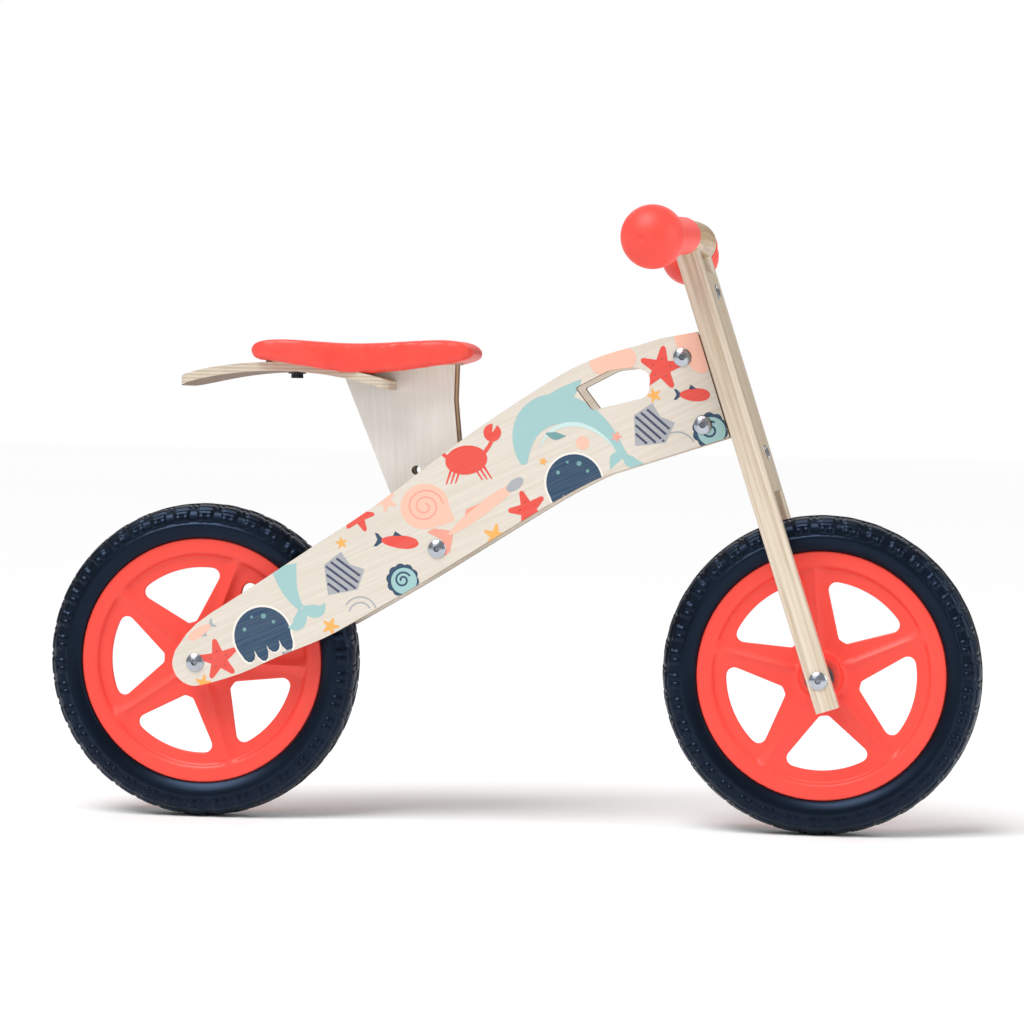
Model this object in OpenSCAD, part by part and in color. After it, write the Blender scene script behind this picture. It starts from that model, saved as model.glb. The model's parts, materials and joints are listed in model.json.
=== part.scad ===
// Child's wooden balance bike: plywood frame plates, raked wooden fork, moulded wheels.
// X points forward, Y to the rider's left, Z up. The origin lies on the ground between the wheels.

/* [Wheels] */
// Distance between the two axles
wheelbase = 562; // [520:1:680]
// Outside diameter of the tyres
tyre_d = 285; // [236:1:345]
// Width of the tyres
tyre_w = 45; // [40:1:54]
// Radial height of the tyre above the rim channel
tyre_h = 38.5; // [32:0.5:44]
// Width of the hubs over their end faces
hub_w = 56; // [46:1:68]
// Outside diameter of the hubs
hub_d = 36; // [30:1:44]
// Diameter of the steel axle sleeves
axle_d = 10; // [8:0.5:12]
// Number of spokes
spokes = 5; // [3:1:7]
// Width of one spoke
spoke_w = 26; // [20:1:32]
// Thickness of the spoked web
web_t = 20; // [14:1:25]

/* [Fork] */
// Backward lean of the fork in degrees
rake = 18; // [14:0.5:22]
// Fore and aft depth of a fork leg
leg_w = 21; // [17:0.5:26]
// Sideways thickness of a fork leg
leg_t = 19; // [15:0.5:23]
// Sideways gap between a frame plate and a fork leg
leg_gap = 9; // [8:0.5:12]
// Length of leg below the axle
leg_foot = 27.5; // [22:0.5:34]
// Thickness of the front board
board_t = 5.5; // [4:0.5:7]
// Diameter of the steering pin
pin_d = 10; // [8:0.5:12]
// Distance from the steering axis to the back of the front board
pin_set = 10.5; // [10:0.5:13]
// Gap between the front tyre and the lower cross block
tyre_gap = 44.5; // [30:0.5:60]
// Height of the lower cross block
low_block_h = 34; // [28:1:41]
// Height of the upper cross block
top_block_h = 41; // [34:1:50]

/* [Frame] */
// Thickness of the plywood plates
plate_t = 9; // [7.5:0.1:12]
// Radius of the plate end around the rear axle
plate_end_r = 21; // [18:0.5:25]
// Height of the head block
head_h = 94; // [78:1:113]
// Length of the head block behind the steering axis
head_back = 44; // [42:1:52]
// Diameter of the connector sleeves through the frame
sleeve_d = 8; // [6.5:0.5:10]
// Diameter of the domed bolt heads
dome_d = 16; // [13:0.5:19]

/* [Seat] */
// Distance between two holes of the height row
hole_pitch = 24.5; // [22:0.1:28]
// Thickness of the whole seat post: two plates and the block between them
post_w = 27; // [23:0.5:32]
// Width of the seat cushion at its widest place
seat_w = 144; // [132:1:172]
// Thickness of the bent tail board
tail_t = 8; // [6.5:0.5:9.5]
// Width of the tail board
tail_w = 110; // [95:1:120]
// Thickness of the board inside the cushion
pan_t = 6; // [5:0.5:7]

/* [Handlebar] */
// Diameter of the wooden bar
bar_d = 29; // [24:0.5:35]
// Radius of the bar's backward bow
bar_bow = 627; // [500:1:800]
// Bar axis behind the front face of the legs, where it crosses them
bar_back = 5.6; // [2:0.1:12]
// Sideways distance of the grip balls from the middle
ball_y = 170; // [145:1:204]
// Diameter of the grip balls
ball_d = 54.4; // [45:0.1:65]
// Wall of the grip sleeves
grip_wall = 1.9; // [1.5:0.1:3]
// Height of the bar's middle line above the upper cross block
bar_rise = 29.7; // [28:0.1:45]

/* [Fits] */
// Running clearance of a pin or sleeve in its bush, on the radius
run_fit = 0.05; // [0.02:0.01:0.1]
// Side play between turning and standing faces
side_play = 0.2; // [0.1:0.05:0.4]
// Clearance of a bolt in a wooden hole, on the radius
hole_fit = 0.1; // [0.05:0.05:0.4]
// Gap kept around the padding
pad_gap = 0.3; // [0.2:0.1:0.6]

/* [Hidden] */
$fn = 72;

// Small sizes shared by several pieces
eps = 0.01;
dowel_d = 8;
dome_h = 3.6;
socket_af = 5;
thread_d = 6;
thread_l = 24;
board_thread_d = 5;
leg_round = 4.5;
flange_t = 1.2;
washer_t = 1.6;
bush_wall = 3;
bush_l = 12;
head_bush_wall = 1.5;
head_bush_l = 14;
head_flange_t = 2;
low_collar_t = 3.8;
top_collar_t = 9.8;
back_wall = 3.5;

// Sideways stations from the hub outwards
tyre_r = tyre_d / 2;
axle_r = axle_d / 2;
hub_y = hub_w / 2;
bush_y = hub_y + flange_t;
plate_in = bush_y + side_play + washer_t;
plate_out = plate_in + plate_t;
leg_in = plate_out + leg_gap;
leg_out = leg_in + leg_t;
leg_mid = (leg_in + leg_out) / 2;

// Fork frame: s runs forward, h runs up along the legs, both from the front axle
pin_r = pin_d / 2;
board_s = leg_w / 2 - board_t;
pin_s = board_s - pin_set;
low_h0 = tyre_r + tyre_gap;
low_h1 = low_h0 + low_block_h;
head_h0 = low_h1 + low_collar_t + side_play + head_flange_t;
head_h1 = head_h0 + head_h;
top_h0 = head_h1 + head_flange_t + side_play + top_collar_t;
top_h1 = top_h0 + top_block_h;
bar_h = top_h1 + bar_rise;
bar_r = bar_d / 2;
bar_sag = bar_bow - sqrt(bar_bow * bar_bow - leg_mid * leg_mid);
bar_s = leg_w / 2 - bar_back;
bar_centre_s = bar_s + bar_sag - bar_bow;
leg_top = bar_h - 9.7;
board_h0 = low_h0 - 19;
board_h1 = top_h1 - 2;
board_bolts_h = [low_h0 + low_block_h / 2, top_h0 + top_block_h / 2];
head_holes_s = pin_s - 27.5;
head_holes_h = [head_h0 + 16, head_h1 - 15.5];
nose_r = pin_set - 0.5;

function fork_xz(s, h) =
  [wheelbase / 2 + s * cos(rake) - h * sin(rake), tyre_r + s * sin(rake) + h * cos(rake)];

// Chord of the frame plates: from the rear axle to the middle of their front edge
plate_s = pin_s - 8;
rear = [-wheelbase / 2, tyre_r];
head_xz = fork_xz(plate_s, (head_h0 + head_h1) / 2);
chord = head_xz - rear;
along = chord / norm(chord);
across = [-along[1], along[0]];
function on_chord(t, d) = rear + t * chord + d * across;

// Seat post: first hole of the height row, and the lean of the row
post = on_chord(0.4598, -12.6);
row_lean = 19.5;
row_dir = [-sin(row_lean), cos(row_lean)];
function row_hole(k) = post + k * hole_pitch * row_dir;
bolt_r = sleeve_d / 2;

// Seat heights, measured from the first hole
pan_z = 164.4;
tail_bend_r = 330;
tail_centre = post + [-143.6, -169.6];
tail_front = -43.6;
tail_slot = -64;
tail_rear = -238;

function spot(p0, p1, p2, p3, t) =
  0.5 * (2 * p1 + (p2 - p0) * t + (2 * p0 - 5 * p1 + 4 * p2 - p3) * t * t
  + (3 * p1 - p0 - 3 * p2 + p3) * t * t * t);
// Smooth curve through points, with n steps between neighbours
function smooth(p, n = 4) = [
  for (i = [0 : len(p) - 2], k = [0 : n - 1])
    spot(p[max(i - 1, 0)], p[i], p[i + 1], p[min(i + 2, len(p) - 1)], k / n),
  p[len(p) - 1]
];
function arc(c, r, a0, a1, n) =
  [for (i = [0 : n]) c + r * [cos(a0 + (a1 - a0) * i / n), sin(a0 + (a1 - a0) * i / n)]];
function unit(v) = v / norm(v);
// One corner b between a and c, rounded with radius r in n steps
function corner(a, b, c, r, n) =
  let (u = unit(a - b), v = unit(c - b), half = acos(u * v) / 2, m = unit(u + v) * r / sin(half) + b,
       p = b + u * r / tan(half), q = b + v * r / tan(half),
       a0 = atan2(p[1] - m[1], p[0] - m[0]), d = atan2(q[1] - m[1], q[0] - m[0]) - a0,
       sweep = d > 180 ? d - 360 : d < -180 ? d + 360 : d)
  [for (i = [0 : n]) m + r * [cos(a0 + sweep * i / n), sin(a0 + sweep * i / n)]];
// Polygon whose corners are rounded, each with its own radius
function rounded(p, r, n = 5) = [
  for (i = [0 : len(p) - 1])
    each corner(p[(i + len(p) - 1) % len(p)], p[i], p[(i + 1) % len(p)], r[i], n)
];

// Stands a flat XZ outline up between two sideways stations
module slab(y0, y1) {
  translate([0, y1, 0]) rotate([90, 0, 0]) linear_extrude(y1 - y0) children();
}
// Cylinder along Y
module rod_y(x, z, r, y0, y1) {
  translate([x, y0, z]) rotate([-90, 0, 0]) cylinder(r = r, h = y1 - y0);
}
module at_fork() {
  translate([wheelbase / 2, 0, tyre_r]) rotate([0, -rake, 0]) children();
}
module both() {
  for (m = [0, 1]) mirror([0, m, 0]) children();
}

// Domed head with a hexagon socket, its flat side on z = 0
module dome_head(d, h) {
  rise = h * 0.75;
  ball = (d * d / 4 + rise * rise) / (2 * rise);
  difference() {
    union() {
      cylinder(d = d, h = h - rise);
      translate([0, 0, h - rise]) intersection() {
        translate([0, 0, rise - ball]) sphere(r = ball, $fn = 96);
        cylinder(d = d, h = h);
      }
    }
    translate([0, 0, h - 2.6]) cylinder(d = socket_af / cos(30), h = 3, $fn = 6);
  }
}
// Long half of a connector: tube across the object with its domed head on the left
module sleeve(x, z, w, d) {
  difference() {
    union() {
      rod_y(x, z, d / 2, -w, w);
      translate([x, w, z]) rotate([-90, 0, 0]) dome_head(dome_d, dome_h);
    }
    rod_y(x, z, thread_d / 2, -w - eps, -w + thread_l);
  }
}
// Short half: domed head on the right with a threaded shank inside the tube
module sleeve_bolt(x, z, w) {
  translate([x, -w, z]) rotate([90, 0, 0]) dome_head(dome_d, dome_h);
  rod_y(x, z, thread_d / 2, -w - eps, -w + thread_l - 2);
}

// ---- Frame ----

plate_outline = concat(
  smooth(concat(
    arc(rear, plate_end_r, 150, 285, 4),
    [for (q = [[0.06, -28], [0.13, -30.5], [0.215, -35.2], [0.29, -35], [0.42, -32.5], [0.55, -28.2],
               [0.67, -24.6], [0.75, -24.6], [0.787, -27.4]]) on_chord(q[0], q[1])]), 3),
  [fork_xz(plate_s, head_h0 - 1)],
  [fork_xz(plate_s, head_h1 + 2)],
  smooth(concat(
    [fork_xz(plate_s - 33, head_h1 + 6)],
    [for (q = [[0.9166, 62.6], [0.8786, 67.3], [0.835, 70.8], [0.786, 71.8], [0.69, 68.5], [0.575, 62],
               [0.40, 47.6], [0.27, 41.6], [0.14, 35.3], [0.034, 30.3]]) on_chord(q[0], q[1])],
    [rear + plate_end_r * [cos(150), sin(150)]]), 3)
);
slot_at = on_chord(0.8533, 38.6);
slot_outline = rounded(
  [for (q = [[-36, -0.5], [-6, 15.5], [16, 18.5], [31, 14], [29, -7.5], [6, -13.6], [-21, -20]]) slot_at + q],
  [1.6, 22, 14, 9, 9, 30, 4]);

module plate(y0, y1) {
  difference() {
    slab(y0, y1) difference() {
      polygon(plate_outline);
      polygon(slot_outline);
    }
    rod_y(rear[0], rear[1], axle_r + hole_fit, y0 - 1, y1 + 1);
    rod_y(post[0], post[1], bolt_r + hole_fit, y0 - 1, y1 + 1);
    for (h = head_holes_h) {
      q = fork_xz(head_holes_s, h);
      rod_y(q[0], q[1], bolt_r + hole_fit, y0 - 1, y1 + 1);
    }
    // Blind seats of the hidden peg
    rod_y(row_hole(1)[0], row_hole(1)[1], bolt_r, -plate_in - plate_t / 2, plate_in + plate_t / 2);
  }
}
module frame_plate_right() { color("#E5DBCD") plate(-plate_out, -plate_in); }
module frame_plate_left() { color("#E5DBCD") plate(plate_in, plate_out); }

// Beech block between the plates, narrowed to a round nose about the steering pin
module head_block() {
  shoulder = plate_s - 1;
  color("#D8BE93") at_fork() difference() {
    translate([0, 0, head_h0]) linear_extrude(head_h) {
      translate([pin_s - head_back, -plate_in]) square([shoulder - pin_s + head_back, 2 * plate_in]);
      translate([pin_s, 0]) circle(r = nose_r);
      polygon([[shoulder - eps, -plate_in], [shoulder + 2, -plate_in], [pin_s, -nose_r],
               [pin_s, nose_r], [shoulder + 2, plate_in], [shoulder - eps, plate_in]]);
    }
    translate([pin_s, 0, head_h0 - 1]) cylinder(r = pin_r + 0.5, h = head_h + 2);
    for (h = [head_h0 - eps, head_h1 - head_bush_l])
      translate([pin_s, 0, h]) cylinder(r = pin_r + run_fit + head_bush_wall, h = head_bush_l + eps);
    for (h = head_holes_h) rod_y(head_holes_s, h, bolt_r + hole_fit, -plate_in - 1, plate_in + 1);
  }
}
// Flanged bushes at both ends of the head block
module head_bushes() {
  color("#E8E4DA") at_fork() for (m = [0, 1])
    translate([pin_s, 0, m == 0 ? head_h0 : head_h1]) mirror([0, 0, 1 - m]) difference() {
      union() {
        cylinder(r = nose_r - 0.5, h = head_flange_t);
        translate([0, 0, -head_bush_l]) cylinder(r = pin_r + run_fit + head_bush_wall, h = head_bush_l + eps);
      }
      translate([0, 0, -head_bush_l - 1]) cylinder(r = pin_r + run_fit, h = head_bush_l + head_flange_t + 2);
    }
}
module head_sleeves() {
  color("#C9CCD0") for (h = head_holes_h) {
    q = fork_xz(head_holes_s, h);
    sleeve(q[0], q[1], plate_out, sleeve_d);
  }
}
module head_bolts() {
  color("#C9CCD0") for (h = head_holes_h) {
    q = fork_xz(head_holes_s, h);
    sleeve_bolt(q[0], q[1], plate_out);
  }
}
module rear_axle_sleeve() { color("#C9CCD0") sleeve(rear[0], rear[1], plate_out, axle_d); }
module rear_axle_bolt() { color("#C9CCD0") sleeve_bolt(rear[0], rear[1], plate_out); }
module rear_washers() {
  color("#B9BCC0") both() difference() {
    rod_y(rear[0], rear[1], axle_r + 5, plate_in - washer_t, plate_in);
    rod_y(rear[0], rear[1], axle_r + hole_fit, plate_in - washer_t - 1, plate_in + 1);
  }
}

// ---- Seat ----

support_front = 9.8;
support_outline = [for (q = [[-21.5, -15], [22, -4], [12.8, 94.4], [9, 132.8], [support_front, pan_z],
                             [-95, pan_z], [-89.6, 149], [-46.4, 45]]) post + q];
// Outline of the post: its rear top follows the underside of the tail board, and the rest rises
// through the board's slot
module support_shape() {
  intersection() {
    polygon(support_outline);
    union() {
      translate(tail_centre) circle(r = tail_bend_r - tail_t / 2, $fn = 360);
      translate(post + [tail_slot + side_play, 0]) square([200, 200]);
    }
  }
}
module support(y0, y1) {
  difference() {
    slab(y0, y1) support_shape();
    for (k = [0 : 3])
      rod_y(row_hole(k)[0], row_hole(k)[1], bolt_r + (k == 1 ? 0 : hole_fit), y0 - 1, y1 + 1);
    seat_dowel_holes();
  }
}
support_out = post_w / 2;
support_in = support_out - plate_t;
module seat_support_right() { color("#EFE8DC") support(-support_out, -support_in); }
module seat_support_left() { color("#EFE8DC") support(support_in, support_out); }
module post_sleeve() { color("#C9CCD0") sleeve(post[0], post[1], plate_out, sleeve_d); }
module post_bolt() { color("#C9CCD0") sleeve_bolt(post[0], post[1], plate_out); }
module ring_on_bolt(y0, y1) {
  difference() {
    rod_y(post[0], post[1], bolt_r + 5, y0, y1);
    rod_y(post[0], post[1], bolt_r + hole_fit, y0 - 1, y1 + 1);
  }
}
module post_spacer() { color("#D8BE93") ring_on_bolt(-support_in, support_in); }
module side_spacers() { color("#D8BE93") both() ring_on_bolt(support_out, plate_in); }
// Beech peg that keeps the post from turning about its bolt
module post_peg() {
  color("#D8BE93") rod_y(row_hole(1)[0], row_hole(1)[1], bolt_r, -plate_in - plate_t / 2,
                         plate_in + plate_t / 2);
}
dowel_x = [-60, -4];
dowel_z = 122;
dowel_out = support_in + plate_t / 2;
module seat_dowel_holes() {
  for (x = dowel_x) rod_y(post[0] + x, post[1] + dowel_z, dowel_d / 2, -dowel_out, dowel_out);
}
module seat_dowels() { color("#D8BE93") seat_dowel_holes(); }
screw_x = [-78, -12];
screw_l = 24;
module seat_block() {
  color("#D8BE93") difference() {
    slab(-support_in, support_in) intersection() {
      support_shape();
      translate(post + [-200, 106]) square([400, 200]);
    }
    seat_dowel_holes();
    seat_screw_bodies(0);
  }
}
function tail_top(x) =
  tail_centre[1] + sqrt(pow(tail_bend_r + tail_t / 2, 2) - pow(post[0] + x - tail_centre[0], 2));
// Countersunk wood screws: the rear one holds the tail board, the front one the pan
module seat_screw_bodies(slack) {
  for (x = screw_x) {
    top = x < tail_slot ? tail_top(x) - 1.5 : post[1] + pan_z + pan_t;
    translate([post[0] + x, 0, top]) {
      translate([0, 0, -screw_l]) cylinder(r = 2 + slack, h = screw_l);
      translate([0, 0, -2.6]) cylinder(r1 = 2 + slack, r2 = 4.2 + slack, h = 2.6);
      translate([0, 0, -eps]) cylinder(r = 4.2 + slack, h = slack > 0 ? 4 : eps);
    }
  }
}
module seat_screws() { color("#B0B0AE") seat_screw_bodies(0); }

// Bent plywood board that reaches back from under the cushion; its front end is slotted for the post
module tail_board() {
  color("#E6D6B8") difference() {
    intersection() {
      slab(-tail_w / 2, tail_w / 2) intersection() {
        difference() {
          translate(tail_centre) circle(r = tail_bend_r + tail_t / 2, $fn = 360);
          translate(tail_centre) circle(r = tail_bend_r - tail_t / 2, $fn = 360);
        }
        translate(post + [tail_rear, 100]) square([tail_front - tail_rear, 100]);
      }
      translate([0, 0, post[1] + 100]) linear_extrude(100) polygon(rounded(
        [[post[0] + tail_rear, -tail_w / 2], [post[0] + tail_front, -tail_w / 2],
         [post[0] + tail_front, tail_w / 2], [post[0] + tail_rear, tail_w / 2]], [32, 8, 8, 32], 10));
    }
    slab(-support_out - side_play, support_out + side_play)
      translate(post + [tail_slot, 100]) square([tail_front - tail_slot + 1, 100]);
    seat_screw_bodies(0.2);
    seat_bolt_shank(hole_fit);
  }
}
seat_bolt_x = -137.6;
module seat_bolt_shank(slack) {
  translate([post[0] + seat_bolt_x, 0, post[1] + pan_z - 30]) cylinder(r = 3 + slack, h = 30 + pan_t);
}
// Black flanged bolt that comes up through the tail board into the pan
module seat_bolt() {
  z0 = tail_top(seat_bolt_x) - tail_t - 0.55;
  color("#26282B") translate([post[0] + seat_bolt_x, 0, 0]) {
    translate([0, 0, z0 - 1.2]) cylinder(r = 8, h = 1.2);
    translate([0, 0, z0 - 5.2]) cylinder(r = 5.6, h = 4.0 + eps, $fn = 6);
    translate([0, 0, z0 - eps]) cylinder(r = 3, h = post[1] + pan_z + pan_t - z0);
  }
}
module seat_tee_nut() {
  color("#B0B0AE") translate([post[0] + seat_bolt_x, 0, post[1] + pan_z]) difference() {
    union() {
      translate([0, 0, pan_t]) cylinder(r = 9, h = 1.2);
      translate([0, 0, 1]) cylinder(r = 4.4, h = pan_t);
    }
    translate([0, 0, -1]) cylinder(r = 3, h = pan_t + 4);
  }
}
// Half width of the saddle shape at places along X from the first hole
pan_x0 = -158;
pan_x1 = 13;
cushion_x0 = -171;
cushion_x1 = 30.5;
cushion_nose = 72;
pan_inset = 12;
module saddle(x0, x1, inset) {
  w = seat_w / 2 - inset;
  v = cushion_nose / 2 - inset;
  polygon(rounded(
    [[post[0] + x0, -w + 6], [post[0] - 122, -w], [post[0] - 30, -v - 8], [post[0] + x1, -v],
     [post[0] + x1, v], [post[0] - 30, v + 8], [post[0] - 122, w], [post[0] + x0, w - 6]],
    [22, 60, 80, 16, 16, 80, 60, 22], 8));
}
module seat_pan() {
  color("#D9C39A") difference() {
    translate([0, 0, post[1] + pan_z]) linear_extrude(pan_t) saddle(pan_x0, pan_x1, pan_inset);
    seat_screw_bodies(0.05);
    translate([post[0] + seat_bolt_x, 0, post[1] + pan_z - 1]) cylinder(r = 4.4, h = pan_t + 2);
  }
}
cushion_side = smooth([for (q = [
  [-164, 166.3], [-169.5, 169.8], [-171, 174.5], [-168, 179], [-159, 182.2], [-135, 183.4], [-88, 181.1],
  [-60, 181.5], [-16, 184.5], [8, 185.1], [21, 183], [28.6, 178.4], [30.5, 173.2], [27.6, 169],
  [16, 165.8], [2, 163.8], [-32, 158.4], [-60, 155], [-79, 154.8], [-100, 157.5], [-122, 160.7],
  [-150, 165], [-164, 166.3]]) post + q], 3);
module seat_cushion() {
  cave_top = post[1] + pan_z + pan_t + 1.2 + pad_gap;
  color("#FF5549") difference() {
    intersection() {
      slab(-seat_w / 2 - 2, seat_w / 2 + 2) polygon(cushion_side);
      translate([0, 0, post[1] + 140]) linear_extrude(60) saddle(cushion_x0, cushion_x1, 0);
    }
    translate([0, 0, post[1] + 100]) linear_extrude(cave_top - post[1] - 100)
      saddle(pan_x0 - pad_gap, pan_x1 + pad_gap, pan_inset - pad_gap);
    slab(-tail_w / 2 - pad_gap, tail_w / 2 + pad_gap) intersection() {
      translate(tail_centre) circle(r = tail_bend_r + tail_t / 2 + pad_gap, $fn = 360);
      translate(post + [-200, 100]) square([200 + tail_front, 100]);
    }
    slab(-support_out - pad_gap, support_out + pad_gap)
      translate(post + [tail_slot - pad_gap, 100])
        square([support_front - tail_slot + 2 * pad_gap, pan_z + pad_gap - 100]);
  }
}

// ---- Wheels ----

channel_r = tyre_r - tyre_h;
flange_h = 7;
rim_half = 16.5;
channel_half = 13.5;
bush_r = axle_r + run_fit + bush_wall;
window_in = 35;
window_out = channel_r - 20;
window_edge = [for (r = [window_in, window_out])
  let (a = 180 / spokes, p = sqrt(r * r - spoke_w * spoke_w / 4))
  [p * cos(a) + spoke_w / 2 * sin(a), p * sin(a) - spoke_w / 2 * cos(a)]];
window_half = atan2(window_edge[1][1], window_edge[1][0]);
window_outline = rounded(
  concat([[window_edge[0][0], -window_edge[0][1]]],
         arc([0, 0], window_out, -window_half, window_half, 6),
         [window_edge[0]]),
  [5, 9, 20, 20, 20, 20, 20, 9, 5], 4);
rim_half_profile = [
  [hub_d / 2, hub_y], [hub_d / 2, hub_y - 9], [hub_d / 2 + 5, web_t / 2 + 2], [hub_d / 2 + 9, web_t / 2],
  [channel_r - 16, web_t / 2], [channel_r - 9.5, rim_half - 1], [channel_r - 8.5, rim_half],
  [channel_r + flange_h, rim_half], [channel_r + flange_h, channel_half], [channel_r, channel_half]
];
module rim(turn) {
  rotate([-90, 0, 0]) difference() {
    union() {
      rotate_extrude($fn = 144) polygon(concat(
        [[bush_r, hub_y]], rim_half_profile,
        [for (i = [len(rim_half_profile) - 1 : -1 : 0]) [rim_half_profile[i][0], -rim_half_profile[i][1]]],
        [[bush_r, -hub_y]]));
      // A low ridge runs down the middle of each spoke, on both faces
      for (k = [0 : spokes - 1], side = [1, -1]) rotate(-turn - k * 360 / spokes)
        translate([hub_d / 2 - 2, 0, 0]) rotate([90, 0, 90]) linear_extrude(channel_r - 12 - hub_d / 2)
          polygon([[-6, side * (web_t / 2 - 1)], [6, side * (web_t / 2 - 1)], [0, side * (web_t / 2 + 2.2)]]);
    }
    for (k = [0 : spokes - 1]) rotate(-turn - (k + 0.5) * 360 / spokes)
      translate([0, 0, -rim_half - 1]) linear_extrude(2 * rim_half + 2) polygon(window_outline);
  }
}
tyre_side = [[channel_r + flange_h, channel_half + 3.5], [channel_r + flange_h + 4, 20],
             [channel_r + flange_h + 10, tyre_w / 2], [tyre_r - 9, tyre_w / 2 - 1],
             [tyre_r - 3, tyre_w / 2 - 7], [tyre_r - 0.6, tyre_w / 2 - 14], [tyre_r, 0]];
module tyre() {
  half = concat([[channel_r, channel_half - run_fit], [channel_r + flange_h, channel_half - run_fit]],
                smooth(tyre_side, 3));
  last = len(half) - 1;
  rotate([-90, 0, 0]) rotate_extrude($fn = 144) polygon(concat(
    half, [for (i = [last - 1 : -1 : 0]) [half[i][0], -half[i][1]]]));
}
module bushes() {
  both() difference() {
    union() {
      rod_y(0, 0, bush_r, hub_y - bush_l, hub_y);
      rod_y(0, 0, axle_r + 7.5, hub_y, bush_y);
    }
    rod_y(0, 0, axle_r + run_fit, hub_y - bush_l - 1, bush_y + 1);
  }
}
module at_rear() { translate([rear[0], 0, rear[1]]) children(); }
module at_front() { translate([-rear[0], 0, rear[1]]) children(); }
module rear_rim() { color("#FF5549") at_rear() rim(70); }
module rear_tyre() { color("#1D2739") at_rear() tyre(); }
module rear_bushes() { color("#4A4D52") at_rear() bushes(); }
module front_rim() { color("#FF5549") at_front() rim(23); }
module front_tyre() { color("#1D2739") at_front() tyre(); }
module front_bushes() { color("#4A4D52") at_front() bushes(); }

// ---- Fork ----

// Square bar section with round edges
module round_bar(w, t, r) {
  square([w - 2 * r, t], center = true);
  square([w, t - 2 * r], center = true);
  for (x = [-1, 1], y = [-1, 1]) translate([x * (w / 2 - r), y * (t / 2 - r)]) circle(r = r);
}
// Bowed bar of radius r between two angles from the middle
module bowed(r, a0, a1) {
  translate([bar_centre_s, 0, bar_h]) rotate(a0)
    rotate_extrude(angle = a1 - a0, $fn = 720) translate([bar_bow, 0]) circle(r = r);
}
bar_end = asin((ball_y - 12) / bar_bow);
ball_a = asin(ball_y / bar_bow);
grip_a = asin((ball_y - 90) / bar_bow);
module leg() {
  difference() {
    translate([0, leg_mid, -leg_foot]) linear_extrude(leg_foot + leg_top) round_bar(leg_w, leg_t, leg_round);
    bowed(bar_r, -bar_end, bar_end);
    rod_y(0, 0, axle_r + hole_fit, leg_in - 1, leg_out + 1);
    dowel_rods();
    bar_dowel_rods();
  }
}
module fork_leg_left() { color("#DCCBB6") at_fork() leg(); }
module fork_leg_right() { color("#DCCBB6") at_fork() mirror([0, 1, 0]) leg(); }
dowel_s = pin_s + 1;
dowel_apart = 9;
module dowel_rods() {
  for (h = board_bolts_h, dh = [-dowel_apart, dowel_apart], m = [0, 1]) mirror([0, m, 0])
    rod_y(dowel_s, h + dh, dowel_d / 2, leg_in - 24, leg_in + 12);
}
module fork_dowels() { color("#D8BE93") at_fork() dowel_rods(); }
module cross_block(h0, h1) {
  back = pin_s - pin_r - back_wall;
  difference() {
    translate([0, 0, h0]) linear_extrude(h1 - h0) polygon([
      [board_s, -leg_in], [board_s, leg_in], [-leg_w / 2, leg_in], [-leg_w / 2, 18], [back, 11],
      [back, -11], [-leg_w / 2, -18], [-leg_w / 2, -leg_in]]);
    translate([pin_s, 0, h0 - 1]) cylinder(r = pin_r, h = h1 - h0 + 2);
    translate([pin_s, 0, (h0 + h1) / 2]) rotate([0, 90, 0]) cylinder(d = board_thread_d + 2 * hole_fit, h = 40);
    dowel_rods();
  }
}
module lower_cross_block() { color("#D8BE93") at_fork() cross_block(low_h0, low_h1); }
module upper_cross_block() { color("#D8BE93") at_fork() cross_block(top_h0, top_h1); }
module front_board() {
  color("#E5DBCD") at_fork() difference() {
    translate([board_s, -leg_in, board_h0]) cube([board_t, 2 * leg_in, board_h1 - board_h0]);
    for (h = board_bolts_h) translate([board_s - 1, 0, h]) rotate([0, 90, 0])
      cylinder(d = board_thread_d + 2 * hole_fit, h = board_t + 2);
  }
}
// Bolts through the board and block into tapped holes of the steering pin
module board_bolts() {
  color("#C9CCD0") at_fork() for (h = board_bolts_h) translate([leg_w / 2, 0, h]) {
    rotate([0, 90, 0]) dome_head(dome_d - 2, dome_h - 0.8);
    reach = leg_w / 2 - pin_s + 1;
    translate([-reach, 0, 0]) rotate([0, 90, 0]) cylinder(d = board_thread_d, h = reach + eps);
  }
}
module steering_pin() {
  color("#B9BCC0") at_fork() difference() {
    translate([pin_s, 0, low_h0]) cylinder(r = pin_r, h = top_h1 - low_h0);
    for (h = board_bolts_h) translate([pin_s - 1, 0, h]) rotate([0, 90, 0]) cylinder(d = board_thread_d, h = 30);
  }
}
module steering_collars() {
  color("#4A4D52") at_fork() for (q = [[low_h1, low_collar_t], [top_h0 - top_collar_t, top_collar_t]])
    translate([pin_s, 0, q[0]]) difference() {
      cylinder(r = nose_r - 0.5, h = q[1]);
      translate([0, 0, -1]) cylinder(r = pin_r + run_fit, h = q[1] + 2);
    }
}
bar_dowel_s = bar_s - 4;
bar_dowel_h0 = board_bolts_h[1] + dowel_apart + dowel_d / 2 + 1.5;
module bar_dowel_rods() {
  both() translate([bar_dowel_s, leg_mid, bar_dowel_h0]) cylinder(d = dowel_d, h = bar_h + 6 - bar_dowel_h0);
}
module bar_dowels() { color("#D8BE93") at_fork() bar_dowel_rods(); }
module handlebar() {
  color("#C9A878") at_fork() difference() {
    bowed(bar_r, -bar_end, bar_end);
    bar_dowel_rods();
  }
}
module grip() {
  difference() {
    union() {
      bowed(bar_r + grip_wall, grip_a, ball_a);
      translate([bar_centre_s, 0, bar_h]) rotate(ball_a) translate([bar_bow, 0, 0])
        sphere(d = ball_d, $fn = 96);
    }
    bowed(bar_r, grip_a - 1, bar_end);
  }
}
module grip_left() { color("#FF5549") at_fork() grip(); }
module grip_right() { color("#FF5549") at_fork() mirror([0, 1, 0]) grip(); }
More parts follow.
